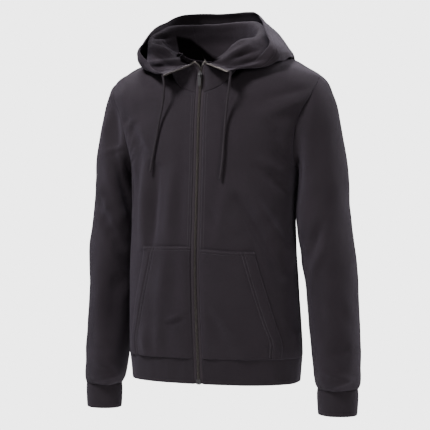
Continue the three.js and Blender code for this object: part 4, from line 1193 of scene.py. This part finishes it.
thread = sewing_thread()
stitch = stitch_shape()
sewing_tree = repeat_tree("stitches_on_cloth", on_cloth=True)
STITCH_PITCH = 0.0031
STITCH_LIFT = 0.0001
ZIP_ROWS = 2.0, 7.5  # in millimetres from a front's edge
STRIP_ROW = 3.0  # in millimetres from the hood's middle seams
RUNS = []
for side, way in SIDES:
    pocket, panel = POCKETS[side], FRONTS[side]
    lines = [pocket.inset("top", distance) for distance in TOP_ROWS]
    lines += [pocket.inset("end", MOUTH_ROWS[0])[3:]]
    lines += [pocket.inset("end", distance)[3:-3] for distance in MOUTH_ROWS[1:]]
    RUNS.append((pocket, lines))
    by_zip = slice(0, CORNER_ROW * panel.up_steps)
    RUNS.append((panel, [panel.inset("start", distance)[by_zip] for distance in ZIP_ROWS]))
for part, hood in HOODS.items():
    lines = [hood.inset("top", RIM_HEM)]
    if part != "left":
        lines += [hood.inset("end", STRIP_ROW)]
    if part != "right":
        lines += [hood.inset("start", STRIP_ROW)]
    RUNS.append((hood, lines))
for cloth, lines in RUNS:
    name = "stitching_" + cloth.name
    row = repeated(name, lines, stitch, cloth, STITCH_PITCH, STITCH_LIFT, thread, sewing_tree)
bpy.data.objects.remove(stitch)

# Room
# A pale floor well below the hem, a white backdrop and weak even light. The main soft lamp is
# at the camera's upper left, a weak one low beside it, and two behind, above and on the right.
FLOOR_Z = -1.15
FLOOR_RADIUS = 1.9
ring = [
    (FLOOR_RADIUS * math.cos(math.radians(a)), FLOOR_RADIUS * math.sin(math.radians(a)), FLOOR_Z)
    for a in range(0, 360, 5)
]
floor = link_mesh("floor", ring, [tuple(range(len(ring)))])
paper = Finish("pale_floor")
glow = {"Emission_Color": (1, 1, 1, 1), "Emission_Strength": 0.25}
floor.data.materials.append(paper.shade(Base_Color=(0.9, 0.9, 0.9, 1), Roughness=0.9, **glow))

ROOM_LIGHT = 0.13
BACKDROP = 4.0
world = bpy.data.worlds.new("pale_room")
bpy.context.scene.world = world
world.use_nodes = True
seen = world.node_tree.nodes.new("ShaderNodeLightPath")
strength = Wire(world.node_tree, seen.outputs["Is Camera Ray"]) * (BACKDROP - ROOM_LIGHT) + ROOM_LIGHT
background = world.node_tree.nodes["Background"]
background.inputs["Color"].default_value = (1, 1, 1, 1)
world.node_tree.links.new(strength.socket, background.inputs["Strength"])


def lamp(name, right, up, ahead, size, power, colour=(1, 1, 1), aim=(0, 0, -0.3)):
    """A square soft lamp, placed from the garment's middle as the camera sees it."""
    data = bpy.data.lights.new(name, "AREA")
    data.shape = "SQUARE"
    data.size = size
    data.energy = power
    data.color = colour
    thing = link(name, data)
    thing.location = camera_right * right + camera_ahead * ahead + Vector((0, 0, up))
    thing.rotation_euler = (Vector(aim) - thing.location).to_track_quat("-Z", "Y").to_euler()


lamp("key", -1.0, 1.5, -0.85, 0.45, 82, (0.94, 0.95, 1.0), aim=(-0.1, 0, -0.1))
lamp("front", 1.0, 0.25, -1.5, 0.6, 11, aim=(0.05, 0, -0.1))
lamp("top", -0.2, 1.7, 0.8, 0.8, 68, (0.95, 0.96, 1.0), aim=(0, 0, 0))
lamp("right", 1.7, 1.0, 0.5, 0.7, 62, (0.95, 0.96, 1.0), aim=(0.1, 0, 0))
